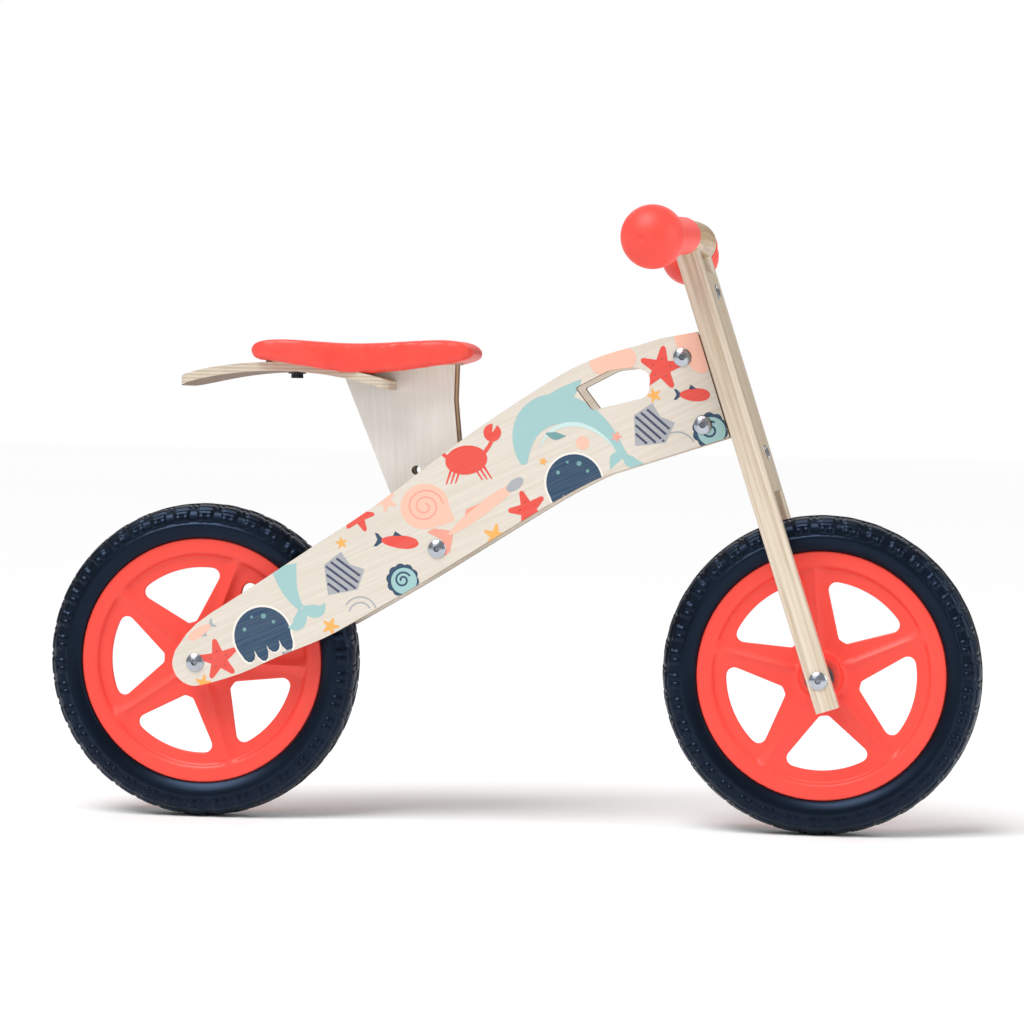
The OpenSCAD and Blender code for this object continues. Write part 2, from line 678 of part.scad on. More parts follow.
module front_axle_sleeve() { color("#C9CCD0") sleeve(-rear[0], rear[1], leg_out, axle_d); }
module front_axle_bolt() { color("#C9CCD0") sleeve_bolt(-rear[0], rear[1], leg_out); }
module front_spacers() {
  color("#4A4D52") at_front() both() difference() {
    rod_y(0, 0, axle_r + 7.5, bush_y + side_play, leg_in);
    rod_y(0, 0, axle_r + run_fit, bush_y, leg_in + 1);
  }
}

frame_plate_right();
frame_plate_left();
head_block();
head_bushes();
head_sleeves();
head_bolts();
rear_axle_sleeve();
rear_axle_bolt();
rear_washers();
post_sleeve();
post_bolt();
post_spacer();
side_spacers();
post_peg();
seat_support_right();
seat_support_left();
seat_block();
seat_dowels();
tail_board();
seat_pan();
seat_screws();
seat_bolt();
seat_tee_nut();
seat_cushion();
rear_rim();
rear_tyre();
rear_bushes();
fork_leg_right();
fork_leg_left();
upper_cross_block();
lower_cross_block();
fork_dowels();
front_board();
board_bolts();
steering_pin();
steering_collars();
handlebar();
bar_dowels();
grip_right();
grip_left();
front_axle_sleeve();
front_axle_bolt();
front_spacers();
front_rim();
front_tyre();
front_bushes();
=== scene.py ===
import json
import math

import bmesh
import bpy
import numpy as np
from mathutils import Matrix, Vector
from mathutils.geometry import delaunay_2d_cdt


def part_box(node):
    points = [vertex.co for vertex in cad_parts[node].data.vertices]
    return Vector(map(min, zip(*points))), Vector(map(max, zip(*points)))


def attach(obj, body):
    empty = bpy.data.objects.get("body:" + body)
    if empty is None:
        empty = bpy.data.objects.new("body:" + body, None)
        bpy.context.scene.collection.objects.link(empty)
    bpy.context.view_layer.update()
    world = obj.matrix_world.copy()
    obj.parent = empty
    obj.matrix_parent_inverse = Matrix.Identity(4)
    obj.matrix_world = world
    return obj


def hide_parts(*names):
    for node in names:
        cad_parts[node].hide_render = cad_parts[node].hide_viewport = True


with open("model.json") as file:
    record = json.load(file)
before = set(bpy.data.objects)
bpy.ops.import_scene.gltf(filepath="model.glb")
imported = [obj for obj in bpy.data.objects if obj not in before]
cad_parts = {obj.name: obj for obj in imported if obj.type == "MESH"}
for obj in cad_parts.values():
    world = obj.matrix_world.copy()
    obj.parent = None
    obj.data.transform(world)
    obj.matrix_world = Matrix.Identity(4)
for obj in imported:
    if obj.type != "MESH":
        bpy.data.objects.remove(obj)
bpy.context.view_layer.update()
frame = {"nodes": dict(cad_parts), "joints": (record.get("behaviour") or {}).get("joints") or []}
scene = bpy.context.scene
scene.view_settings.view_transform = "Standard"


# ---- Camera ----
# A long lens a little behind the front wheel, level with the tail board, looking across the bike's
# right side. The frame is shifted so that the whole bike stands in it.
MM = 0.001
lens_camera = bpy.data.cameras.new("side_camera")
lens_camera.sensor_width = 36
lens_camera.lens = 110.8
lens_camera.shift_x = -0.0801
lens_camera.clip_end = 60
camera = bpy.data.objects.new("side_camera", lens_camera)
scene.collection.objects.link(camera)
scene.camera = camera
yaw, dip, tilt = math.radians(7.008), math.radians(1.926), math.radians(0.872)
look = Vector((-math.sin(yaw) * math.cos(dip), math.cos(yaw) * math.cos(dip), -math.sin(dip)))
level = Vector((math.cos(yaw), math.sin(yaw), 0))
lift = level.cross(look)
right = level * math.cos(tilt) + lift * math.sin(tilt)
top = lift * math.cos(tilt) - level * math.sin(tilt)
camera.matrix_world = Matrix((right, top, -look)).transposed().to_4x4()
camera.location = Vector((419.3, -2807.4, 378.8)) * MM


# ---- Studio ----
# A matt white floor that runs far back, under a white room with broad soft light from the ceiling, a
# soft box at the side, another ahead of the fork, and a strip behind that lights the tyres' edges.
def linear(code):
    """An sRGB hex colour as the linear RGBA that shaders take."""
    channels = [int(code[i : i + 2], 16) / 255 for i in (1, 3, 5)]
    return (*[c / 12.92 if c <= 0.04045 else ((c + 0.055) / 1.055) ** 2.4 for c in channels], 1)


def add(tree, kind, inputs=None, **settings):
    """Adds one shader node with its settings, and links or sets its inputs."""
    node = tree.nodes.new("ShaderNode" + kind)
    for name, value in settings.items():
        setattr(node, name, value)
    for name, value in (inputs or {}).items():
        if isinstance(value, bpy.types.NodeSocket):
            tree.links.new(value, node.inputs[name])
        else:
            node.inputs[name].default_value = value
    return node


def finish_of(name, **values):
    """A material with one Principled surface. Returns the material, its node tree and the surface."""
    material = bpy.data.materials.new(name)
    material.use_nodes = True
    tree = material.node_tree
    tree.nodes.clear()
    shader = add(tree, "BsdfPrincipled", {k.replace("_", " "): v for k, v in values.items()})
    add(tree, "OutputMaterial", {"Surface": shader.outputs[0]})
    return material, tree, shader


def put_mesh(name, points, faces, materials, smooth=True):
    """A new mesh object in the frame's metres."""
    mesh = bpy.data.meshes.new(name)
    mesh.from_pydata([tuple(p) for p in points], [], [tuple(f) for f in faces])
    mesh.update()
    mesh.polygons.foreach_set("use_smooth", [smooth] * len(mesh.polygons))
    for material in materials:
        mesh.materials.append(material)
    thing = bpy.data.objects.new(name, mesh)
    scene.collection.objects.link(thing)
    return thing


world = bpy.data.worlds.new("white_room")
scene.world = world
world.use_nodes = True
sky = world.node_tree
room = sky.nodes["Background"]
room.inputs["Color"].default_value = (1, 1, 1, 1)
room.inputs["Strength"].default_value = 0.34
backdrop = add(sky, "Background", {"Color": (1, 1, 1, 1), "Strength": 1.0})
seen = add(sky, "LightPath")
pick = add(sky, "MixShader", {0: seen.outputs["Is Camera Ray"], 1: room.outputs[0], 2: backdrop.outputs[0]})
sky.links.new(pick.outputs[0], sky.nodes["World Output"].inputs["Surface"])

floor_paint, tree, shader = finish_of("matt_white_floor_paint", Roughness=0.85)
dust = add(tree, "TexNoise", {"Scale": 3.0, "Detail": 3.0})
tone = add(tree, "Mix", {"Factor": dust.outputs["Fac"], "A": linear("#F7F7F7"), "B": linear("#FBFBFB")},
           data_type="RGBA")
tree.links.new(tone.outputs["Result"], shader.inputs["Base Color"])
side, near, deep = 14.0, -6.0, 22.0
floor = put_mesh("studio_floor", [(-side, near, 0), (side, near, 0), (side, deep, 0), (-side, deep, 0)],
                 [(0, 1, 2, 3)], [floor_paint])

sun = bpy.data.lights.new("ceiling_lamp", "SUN")
sun.energy = 2.75
sun.angle = math.radians(38)
holder = bpy.data.objects.new("ceiling_lamp", sun)
holder.rotation_euler = Vector((0.35, 0.5, -1.0)).to_track_quat("-Z", "Y").to_euler()
scene.collection.objects.link(holder)
for name, power, size, spot, aim in (
    ("front_soft_box", 5, (1.6, 1.2), (-1.2, -2.4, 1.5), (0, 0, 0.25)),
    ("nose_soft_box", 16, (1.0, 1.6), (2.3, -0.5, 1.0), (0.2, 0, 0.35)),
    ("back_strip", 8, (3.0, 0.5), (0.2, 1.9, 1.7), (0, 0, 0.3)),
):
    lamp = bpy.data.lights.new(name, "AREA")
    lamp.shape = "RECTANGLE"
    lamp.size, lamp.size_y = size
    lamp.energy = power
    holder = bpy.data.objects.new(name, lamp)
    holder.location = spot
    holder.rotation_euler = (Vector(aim) - Vector(spot)).to_track_quat("-Z", "Y").to_euler()
    scene.collection.objects.link(holder)


# ---- Frame plates ----
# Two plates routed from 9 mm birch plywood, standing 62 mm apart. Their faces are varnished, with a fine
# grain along the plate, and the laser-cut edges are scorched brown with the plies showing.
def surface(tree, shader, colour, grain, rough, relief):
    """Ends a material: its colour, and one fine pattern that drives its roughness between two values
    and its relief, given as strength and depth in mm."""
    tree.links.new(colour.outputs["Result"], shader.inputs["Base Color"])
    gloss = add(tree, "MapRange", {"Value": grain, "To Min": rough[0], "To Max": rough[1]})
    tree.links.new(gloss.outputs[0], shader.inputs["Roughness"])
    bump = add(tree, "Bump", {"Height": grain, "Strength": relief[0], "Distance": relief[1] * MM})
    tree.links.new(bump.outputs[0], shader.inputs["Normal"])


def wood(name, pale, dark, run, streak=1.6, length=70, gloss=0.38, contrast=1.0, coat=0.25):
    """Varnished wood. run is the grain's angle above +X in degrees, or "Y" for grain across the bike;
    streak is the grain width and length its run, both in mm."""
    material, tree, shader = finish_of(name, Coat_Weight=coat, Coat_Roughness=0.25, IOR=1.5)
    place = add(tree, "TexCoord")
    turn = (0, 0, math.radians(90)) if run == "Y" else (0, -math.radians(run), 0)
    lie = add(tree, "Mapping", {"Vector": place.outputs["Object"], "Rotation": turn,
                                "Scale": (length * MM, streak * MM, streak * MM)}, vector_type="TEXTURE")
    figure = add(tree, "TexNoise", {"Vector": lie.outputs[0], "Scale": 0.45, "Detail": 3.0,
                                    "Roughness": 0.55, "Distortion": 0.4})
    fibre = add(tree, "TexNoise", {"Vector": lie.outputs[0], "Scale": 2.4, "Detail": 5.0, "Roughness": 0.7})
    broad = add(tree, "MapRange", {"Value": figure.outputs["Fac"], "From Min": 0.35, "From Max": 0.68,
                                   "To Max": 0.75 * contrast}, interpolation_type="SMOOTHSTEP")
    thin = add(tree, "MapRange", {"Value": fibre.outputs["Fac"], "From Min": 0.42, "From Max": 0.75,
                                  "To Max": 0.55 * contrast})
    both = add(tree, "Math", {0: broad.outputs[0], 1: thin.outputs[0]}, operation="ADD", use_clamp=True)
    colour = add(tree, "Mix", {"Factor": both.outputs[0], "A": linear(pale), "B": linear(dark)},
                 data_type="RGBA")
    surface(tree, shader, colour, fibre.outputs["Fac"], (gloss - 0.06, gloss + 0.12), (0.12, 0.15))
    return material


def ply_edge(name, pale, dark, sheets="Y", ply=1.5, char=0.35):
    """Edge of plywood: plies of alternating tone stacked along one axis, scorched by the cutter."""
    material, tree, shader = finish_of(name, IOR=1.5)
    place = add(tree, "TexCoord")
    parts = add(tree, "SeparateXYZ", {0: place.outputs["Object"]})
    count = add(tree, "Math", {0: parts.outputs[sheets], 1: 1 / (ply * MM)}, operation="MULTIPLY")
    wave = add(tree, "Math", {0: count.outputs[0], 1: 1.0}, operation="PINGPONG")
    step = add(tree, "MapRange", {"Value": wave.outputs[0], "From Min": 0.42, "From Max": 0.58},
               interpolation_type="SMOOTHSTEP")
    layer = add(tree, "Mix", {"Factor": step.outputs[0], "A": linear(pale), "B": linear(dark)},
                data_type="RGBA")
    scorch = add(tree, "TexNoise", {"Vector": place.outputs["Object"], "Scale": 55.0, "Detail": 4.0})
    burn = add(tree, "MapRange", {"Value": scorch.outputs["Fac"], "From Min": 0.3, "From Max": 0.7,
                                  "To Max": char})
    colour = add(tree, "Mix", {"Factor": burn.outputs[0], "A": layer.outputs["Result"],
                               "B": linear("#6E4A2C")}, data_type="RGBA")
    end_grain = add(tree, "TexNoise", {"Vector": place.outputs["Object"], "Scale": 900.0, "Detail": 2.0})
    surface(tree, shader, colour, end_grain.outputs["Fac"], (0.55, 0.8), (0.25, 0.2))
    return material


def dress(node, face, edge=None, flat=None, ease=0.5, keen=35):
    """Finishes a CAD piece as it stands: face material, edge material where the surface isn't square to
    the flat direction, corners sharper than keen degrees eased by so many mm, and smooth shading."""
    thing = frame["nodes"][node]
    mesh = thing.data
    split = mesh.attributes.get("custom_normal")
    if split:
        mesh.attributes.remove(split)
    mesh.materials.clear()
    mesh.materials.append(face)
    if edge:
        mesh.materials.append(edge)
        for polygon in mesh.polygons:
            polygon.material_index = 0 if abs(polygon.normal.dot(flat)) > 0.9 else 1
    mesh.polygons.foreach_set("use_smooth", [True] * len(mesh.polygons))
    weld = thing.modifiers.new("weld", "WELD")
    weld.merge_threshold = 0.002 * MM
    bevel = thing.modifiers.new("eased_corners", "BEVEL")
    bevel.width = ease * MM
    bevel.segments = 2
    bevel.limit_method = "ANGLE"
    bevel.angle_limit = math.radians(keen)
    bevel.use_clamp_overlap = True
    bevel.material = 1 if edge else -1
    even = thing.modifiers.new("even_shading", "WEIGHTED_NORMAL")
    even.keep_sharp = False
    return thing


hub_centre = {end: sum(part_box(end + "_tyre"), Vector()) / 2 for end in ("rear", "front")}
_, plate_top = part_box("frame_plate_right")
head_drop = 80 * MM  # the grain aims this far under the plate's top
plate_run = math.degrees(math.atan2(plate_top.z - hub_centre["rear"].z - head_drop,
                                    plate_top.x - hub_centre["rear"].x))
ACROSS = Vector((0, 1, 0))
plate_face = wood("varnished_birch_face", "#DFD8CC", "#CCC1B1", plate_run, streak=1.3, length=60,
                  gloss=0.42, contrast=0.5)
plate_edge = ply_edge("scorched_birch_ply_edge", "#A17C54", "#74512F", ply=1.29, char=0.55)
for side in ("right", "left"):
    dress("frame_plate_" + side, plate_face, plate_edge, ACROSS, ease=0.6)


# ---- Print on the plates ----
# Sea shapes screen-printed on the outer faces in flat inks: stars, plain fish, domes, shells, a crab and
# a swimmer. Each ink film is a thin sheet cut off at the plate's edge and at the hand slot, and later
# inks lie on top.
INKS = {
    "navy": "#0F3E5E", "teal": "#9AC4C4", "deep_teal": "#6B9C9E", "peach": "#F7BFA9", "rose": "#EE9E8A",
    "red": "#E4473A", "dark_red": "#B43A33", "grey": "#A6AAAF", "slate": "#66717F", "amber": "#F2AE52",
    "indigo": "#363D5C", "white": "#EFEAE2", "pale_teal": "#C6E2DF",
}


def ink(name, code):
    """Screen-printing ink: an even satin film that lets a little of the wood's grain through."""
    material, tree, shader = finish_of("screen_ink_" + name, IOR=1.5, Roughness=0.45, Coat_Weight=0.2,
                                       Coat_Roughness=0.25)
    place = add(tree, "TexCoord")
    lie = add(tree, "Mapping", {"Vector": place.outputs["Object"],
                                "Rotation": (0, -math.radians(plate_run), 0),
                                "Scale": (60 * MM, 1.5 * MM, 1.5 * MM)}, vector_type="TEXTURE")
    fibre = add(tree, "TexNoise", {"Vector": lie.outputs[0], "Scale": 1.6, "Detail": 4.0})
    thin = add(tree, "MapRange", {"Value": fibre.outputs["Fac"], "From Min": 0.35, "From Max": 0.75,
                                  "To Max": 0.07})
    colour = add(tree, "Mix", {"Factor": thin.outputs[0], "A": linear(code), "B": linear("#E9DFD2")},
                 data_type="RGBA")
    tree.links.new(colour.outputs["Result"], shader.inputs["Base Color"])
    return material


ink_of = {name: ink(name, code) for name, code in INKS.items()}
ink_order = list(INKS)


def turned(points, at=(0, 0), angle=0, size=1):
    """A shape's points turned by an angle in degrees, scaled and moved to its place, in mm."""
    c = math.cos(math.radians(angle)) * size
    s = math.sin(math.radians(angle)) * size
    return [(at[0] + c * x - s * z, at[1] + s * x + c * z) for x, z in points]


def oval(a, b, n=40):
    """An ellipse of n points with half axes a and b."""
    return [(a * math.cos(2 * math.pi * i / n), b * math.sin(2 * math.pi * i / n)) for i in range(n)]


def band(centre_line, half_width):
    """Outline of a band along a curve f(t) with half width w(t), for t from 0 to 1."""
    n = 28
    left, right_side = [], []
    for i in range(n + 1):
        t = i / n
        x, z = centre_line(t)
        x1, z1 = centre_line(min(1, t + 0.01))
        x0, z0 = centre_line(max(0, t - 0.01))
        d = math.hypot(x1 - x0, z1 - z0) or 1
        w = half_width(t)
        left.append((x - (z1 - z0) / d * w, z + (x1 - x0) / d * w))
        right_side.append((x + (z1 - z0) / d * w, z - (x1 - x0) / d * w))
    return left + right_side[::-1]


def star(at, r, angle, body="red", spot="dark_red"):
    """A five-armed star with blunt tips and a speck on each arm."""
    points = []
    for k in range(5):
        for lean, reach in ((-7, 0.93), (0, 1.0), (7, 0.93), (36, 0.43)):
            a = math.radians(72 * k + lean)
            points.append((r * reach * math.cos(a), r * reach * math.sin(a)))
    yield body, turned(points, at, angle)
    for k in range(5) if spot else ():
        a = math.radians(angle + 72 * k)
        yield spot, turned(oval(r * 0.045, r * 0.045, 10), (at[0] + 0.4 * r * math.cos(a),
                                                           at[1] + 0.4 * r * math.sin(a)))


def fish(at, long, angle, body="red", fin="navy", deep=0.42):
    """A plain fish: lens body, forked tail and one fin."""
    half = long / 2
    lens = []
    for i in range(48):
        a = 2 * math.pi * i / 48
        lens.append((half * math.cos(a), half * deep * math.sin(a) * (0.85 + 0.15 * math.cos(a))))
    tail = [(-0.84 * half, 0), (-1.2 * half, 0.34 * half), (-1.38 * half, 0.36 * half), (-1.2 * half, 0),
            (-1.38 * half, -0.36 * half), (-1.2 * half, -0.34 * half)]
    yield fin, turned(tail, at, angle)
    yield body, turned(lens, at, angle)
    yield fin, turned([(0.1 * half, deep * half * 0.8), (-0.3 * half, deep * half * 1.35),
                       (-0.4 * half, deep * half * 0.7)], at, angle)


def angel_fish(at, r, angle):
    """A kite-shaped fish with dark stripes along it."""
    kite = [(r, 0), (0.1 * r, 0.85 * r), (-0.75 * r, 0.6 * r), (-0.55 * r, 0), (-0.75 * r, -0.6 * r),
            (0.1 * r, -0.85 * r)]
    yield "grey", turned(kite, at, angle)
    for x, h in ((0.62, 0.3), (0.36, 0.54), (0.1, 0.76), (-0.16, 0.7), (-0.42, 0.6)):
        yield "indigo", turned([((x - 0.05) * r, -h * r), ((x + 0.05) * r, -h * r),
                                ((x + 0.05) * r, h * r), ((x - 0.05) * r, h * r)], at, angle)


def dome(at, r, angle):
    """A jelly-like dome with a scalloped hem and pale specks."""
    points = [(r * math.cos(math.radians(a)), r * math.sin(math.radians(a))) for a in range(-20, 201, 10)]
    for k in range(4):
        for a in range(0, 181, 30):
            x = -r * 0.94 + 2 * 0.94 * r * (k + 0.5 - 0.5 * math.cos(math.radians(a))) / 4
            points.append((x, -0.34 * r - 0.5 * r * math.sin(math.radians(a)) * (0.7 + 0.3 * (k % 2))))
    yield "white", turned([(1.07 * x, 1.07 * z) for x, z in points], at, angle)
    yield "navy", turned(points, at, angle)
    for x, z, q in ((-0.5, 0.45, 0.07), (0.3, 0.62, 0.09), (0.55, 0.3, 0.06), (-0.1, 0.75, 0.05)):
        yield "deep_teal", turned(turned(oval(q * r, q * r, 12), (x * r, z * r)), at, angle)


def whelk(at, r, angle):
    """A round shell with a spiral groove line."""
    yield "peach", turned(oval(r, r * 0.92), at, angle)
    yield "peach", turned([(0.4 * r, -0.9 * r), (1.15 * r, -0.75 * r), (0.95 * r, 0)], at, angle)
    yield "rose", turned(band(lambda t: ((0.78 - 0.66 * t) * r * math.cos(4.4 * math.pi * t),
                                         (0.72 - 0.6 * t) * r * math.sin(4.4 * math.pi * t)),
                              lambda t: 0.035 * r), at, angle)


def shore_crab(at, r, angle):
    """A plain oval crab with raised claws and thin legs."""
    claw = [(0.42 * r * math.cos(math.radians(a)), 0.42 * r * math.sin(math.radians(a)))
            for a in range(60, 391, 15)] + [(0, 0)]
    for m in (1, -1):
        for k in range(3):
            x = m * r * (0.35 + 0.22 * k)
            yield "red", turned(band(lambda t, x=x, m=m: (x + m * 0.3 * r * t, -0.4 * r - 0.62 * r * t),
                                     lambda t: 0.06 * r * (1 - 0.5 * t)), at, angle)
        yield "red", turned(band(lambda t, m=m: (m * r * (0.8 + 0.55 * math.sin(1.4 * t)),
                                                 r * (0.15 + 0.75 * t)), lambda t: 0.09 * r), at, angle)
        yield "red", turned(turned(claw, (m * 1.38 * r, 1.12 * r), 20 * m), at, angle)
    yield "red", turned(oval(r, 0.68 * r), at, angle)


def sweep(a, b, c, d):
    """A curve from a to d that sets off towards b and comes in from c."""
    def place(t):
        u = 1 - t
        return tuple(u ** 3 * p + 3 * u * u * t * q + 3 * u * t * t * r + t ** 3 * s
                     for p, q, r, s in zip(a, b, c, d))
    return place


def leaf(start, end, bulge, half):
    """A pointed leaf between two places, bent sideways by bulge."""
    middle = ((start[0] + end[0]) / 2 - bulge * (end[1] - start[1]),
              (start[1] + end[1]) / 2 + bulge * (end[0] - start[0]))
    return band(sweep(start, middle, middle, end), lambda t: half * math.sin(math.pi * (0.06 + 0.92 * t)))


def leaper(at, size):
    """A plain swimmer that arches out of the water: tapered body, back fin, forked tail, one side fin and
    a thin pale line along the belly."""
    body = sweep((-44, -15), (-58, 46), (14, 54), (46, -8))
    belly = sweep((-30, -2), (-24, 27), (14, 31), (38, -1))
    for shape in (band(sweep((-16, 40), (-6, 50), (0, 54), (6, 61)), lambda t: 10 * (1 - t) ** 0.8),
                  leaf((47, -2), (33, -18), -0.2, 4.6), leaf((44, -3), (62, -12), -0.25, 5.0),
                  band(body, lambda t: 2.6 + 11.4 * math.sin(math.pi * t ** 0.75) ** 1.1)):
        yield "teal", turned(shape, at, 0, size)
    yield "pale_teal", turned(band(belly, lambda t: 2.0 * math.sin(math.pi * t) ** 0.8), at, 0, size)
    yield "deep_teal", turned(leaf((-25, 13), (-7, 11), -0.1, 3.4), at, 0, size)


def fluke(at, size, angle):
    """A tail that dives out of sight: a tapering stem and two lobes."""
    stem = band(lambda t: (-6 * math.sin(2 * t), 30 - 30 * t), lambda t: 9 - 7 * t)
    yield "teal", turned(stem, at, angle, size)
    for m in (1, -1):
        yield "teal", turned(band(lambda t, m=m: (-5 + m * 15 * t, -1 - 7 * math.sin(2.4 * t)),
                                  lambda t: 4.4 * math.sin(math.pi * (0.15 + 0.85 * t))), at, angle, size)


def curl(at, r, angle):
    """A curled frond with a scalloped back."""
    points = []
    for i in range(60):
        a = 2 * math.pi * i / 60
        reach = r * (0.9 + 0.1 * abs(math.cos(5 * a)))
        points.append((reach * math.cos(a), reach * math.sin(a)))
    yield "navy", turned(points, at, angle)
    yield "teal", turned(oval(0.78 * r, 0.78 * r), (at[0] + 0.08 * r, at[1] - 0.05 * r))
    yield "navy", turned(band(lambda t: ((0.5 - 0.4 * t) * r * math.cos(3 * math.pi * t),
                                         (0.5 - 0.4 * t) * r * math.sin(3 * math.pi * t)),
                              lambda t: 0.06 * r), at, angle)


def thread(at, r, a0, a1):
    """A thin arc, like a line drawn with a pen."""
    yield "grey", turned(band(lambda t: (r * math.cos(math.radians(a0 + (a1 - a0) * t)),
                                         r * math.sin(math.radians(a0 + (a1 - a0) * t))),
                              lambda t: 0.7), at)


def patch(code, a, b, at, angle=0, n=40):
    """A plain oval of one ink."""
    yield code, turned(oval(a, b, n), at, angle)


motifs = [
    star((-259, 146), 19, 32), dome((-219, 168), 26, 24), fish((-277, 170), 24, 215, "peach", "grey"),
    star((-273, 124), 8, 10, "amber", None), fluke((-178, 198), 1.35, 34), angel_fish((-147, 224), 22, 235),
    star((-148, 253), 5.5, 30, "amber", None), thread((-130, 190), 15, 20, 150),
    thread((-130, 190), 10, 30, 170), star((-157, 178), 8, 0, "amber", None),
    fish((-95, 255), 34, -4, "red", "navy", 0.4), whelk((-73, 287), 22, 10), curl((-92, 221), 15, 30),
    star((-133, 277), 15, 10, "red", None), star((-108, 291), 10, 50, "peach", None),
    shore_crab((-36, 329), 19, 8), fish((-22, 285), 74, 38, "peach", "rose", 0.17),
    patch("grey", 9, 4.6, (8, 308), 38), star((-9, 262), 11, 12, "amber", None), star((20, 286), 18, 40),
    dome((61, 311), 25, 12), leaper((60, 341), 1.0), patch("peach", 6, 6, (68, 346), n=24),
    star((33, 329), 4, 5, "amber", None), patch("peach", 21, 13, (94, 419), 12), star((137, 413), 20, 14),
    star((131, 389), 6.5, 40, "amber", None), angel_fish((129, 361), 22, 230),
    fish((167, 390), 27, 0, "red", "navy", 0.5), curl((181, 359), 16, 60),
    patch("peach", 11, 26, (163, 432), 30), thread((152, 340), 17, 30, 150),
    fish((-197, 152), 13, 40, "grey", "slate"), star((98, 352), 5, 0, "rose", None),
]


def face_loops(node, side):
    """Closed edge loops of a plate's outer face in mm, the longest first: its outline, then its openings."""
    mesh = frame["nodes"][node].data
    face_y = side * max(side * v.co.y for v in mesh.vertices)

    def spot(i):
        return round(mesh.vertices[i].co.x / MM, 3), round(mesh.vertices[i].co.z / MM, 3)

    seen = {}
    for polygon in mesh.polygons:
        corners = list(polygon.vertices)
        if all(abs(mesh.vertices[i].co.y - face_y) < 1e-6 for i in corners):
            for a, b in zip(corners, corners[1:] + corners[:1]):
                pair = (spot(a), spot(b))
                if pair[::-1] in seen:
                    del seen[pair[::-1]]
                else:
                    seen[pair] = True
    following = {a: b for a, b in seen}
    loops = []
    while following:
        start, point = following.popitem()
        loop = [start]
        while point != start:
            loop.append(point)
            point = following.pop(point)
        loops.append(np.array(loop))
    return face_y, sorted(loops, key=lambda q: np.hypot(*(q - np.roll(q, 1, 0)).T).sum(), reverse=True)


def inside(loop, points):
    """Which points lie inside a closed loop."""
    a, b = loop, np.roll(loop, -1, 0)
    x, z = points[:, 0:1], points[:, 1:2]
    rises = (a[:, 1] > z) != (b[:, 1] > z)
    with np.errstate(divide="ignore", invalid="ignore"):
        cross = (b[:, 0] - a[:, 0]) * (z - a[:, 1]) / (b[:, 1] - a[:, 1]) + a[:, 0]
    return ((rises & (x < cross)).sum(1) % 2) == 1


def triangles(loops, wanted):
    """Triangulates closed loops in mm and keeps the triangles whose middle is wanted."""
    corners, edges = [], []
    for loop in loops:
        first = len(corners)
        corners += [Vector(map(float, p)) for p in loop]
        edges += [(first + i, first + (i + 1) % len(loop)) for i in range(len(loop))]
    points, _, faces, *_ = delaunay_2d_cdt(corners, edges, [], 0, 1e-4)
    points = np.array([tuple(p) for p in points])
    faces = np.array(faces)
    return points, faces[wanted(points[faces].mean(1))]


def print_on(node, side, name, drawn):
    """Lays every motif on a plate's outer face, one thin film after the other."""
    face_y, (outline, slot_loop, *_) = face_loops(node, side)
    corners, faces, inks = [], [], []
    for layer, (code, shape) in enumerate(drawn):
        shape = np.array(shape)
        points, kept = triangles(
            [shape, outline, slot_loop],
            lambda mid: inside(shape, mid) & inside(outline, mid) & ~inside(slot_loop, mid))
        if not len(kept):
            continue
        level_y = face_y + side * (0.05 + 0.0012 * layer) * MM
        first = len(corners)
        used = sorted(set(kept.ravel().tolist()))
        slot_of = {v: first + i for i, v in enumerate(used)}
        corners += [(points[v][0] * MM, level_y, points[v][1] * MM) for v in used]
        for a, b, c in kept.tolist():
            tri = (slot_of[a], slot_of[b], slot_of[c])
            faces.append(tri if side < 0 else tri[::-1])
            inks.append(ink_order.index(code))
    film = put_mesh(name, corners, faces, [ink_of[q] for q in ink_order], smooth=False)
    film.data.polygons.foreach_set("material_index", inks)
    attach(film, "frame")
    return film


drawing = [shape for motif in motifs for shape in motif]
print_on("frame_plate_right", -1, "right_plate_print", drawing)
print_on("frame_plate_left", 1, "left_plate_print", drawing)


# ---- Blocks, pegs and spacers between the plates ----
# Solid beech, planed and lightly sanded: the head block that carries the steering bushes, the cross
# blocks of the fork, and the dowels and pegs. Bare wood with short dark pores.
beech = wood("planed_beech", "#E0C69B", "#BF9B6B", 18, streak=1.2, length=30, gloss=0.55, coat=0.0)
beech_rod = wood("turned_beech_dowel", "#E2CBA4", "#C4A06F", "Y", streak=0.9, length=25, gloss=0.55, coat=0.0)
for node in ("head_block", "seat_block", "upper_cross_block", "lower_cross_block"):
    dress(node, beech, ease=0.8)
for node in ("seat_dowels", "fork_dowels", "bar_dowels", "post_peg", "post_spacer", "side_spacers"):
    dress(node, beech_rod, ease=0.4)


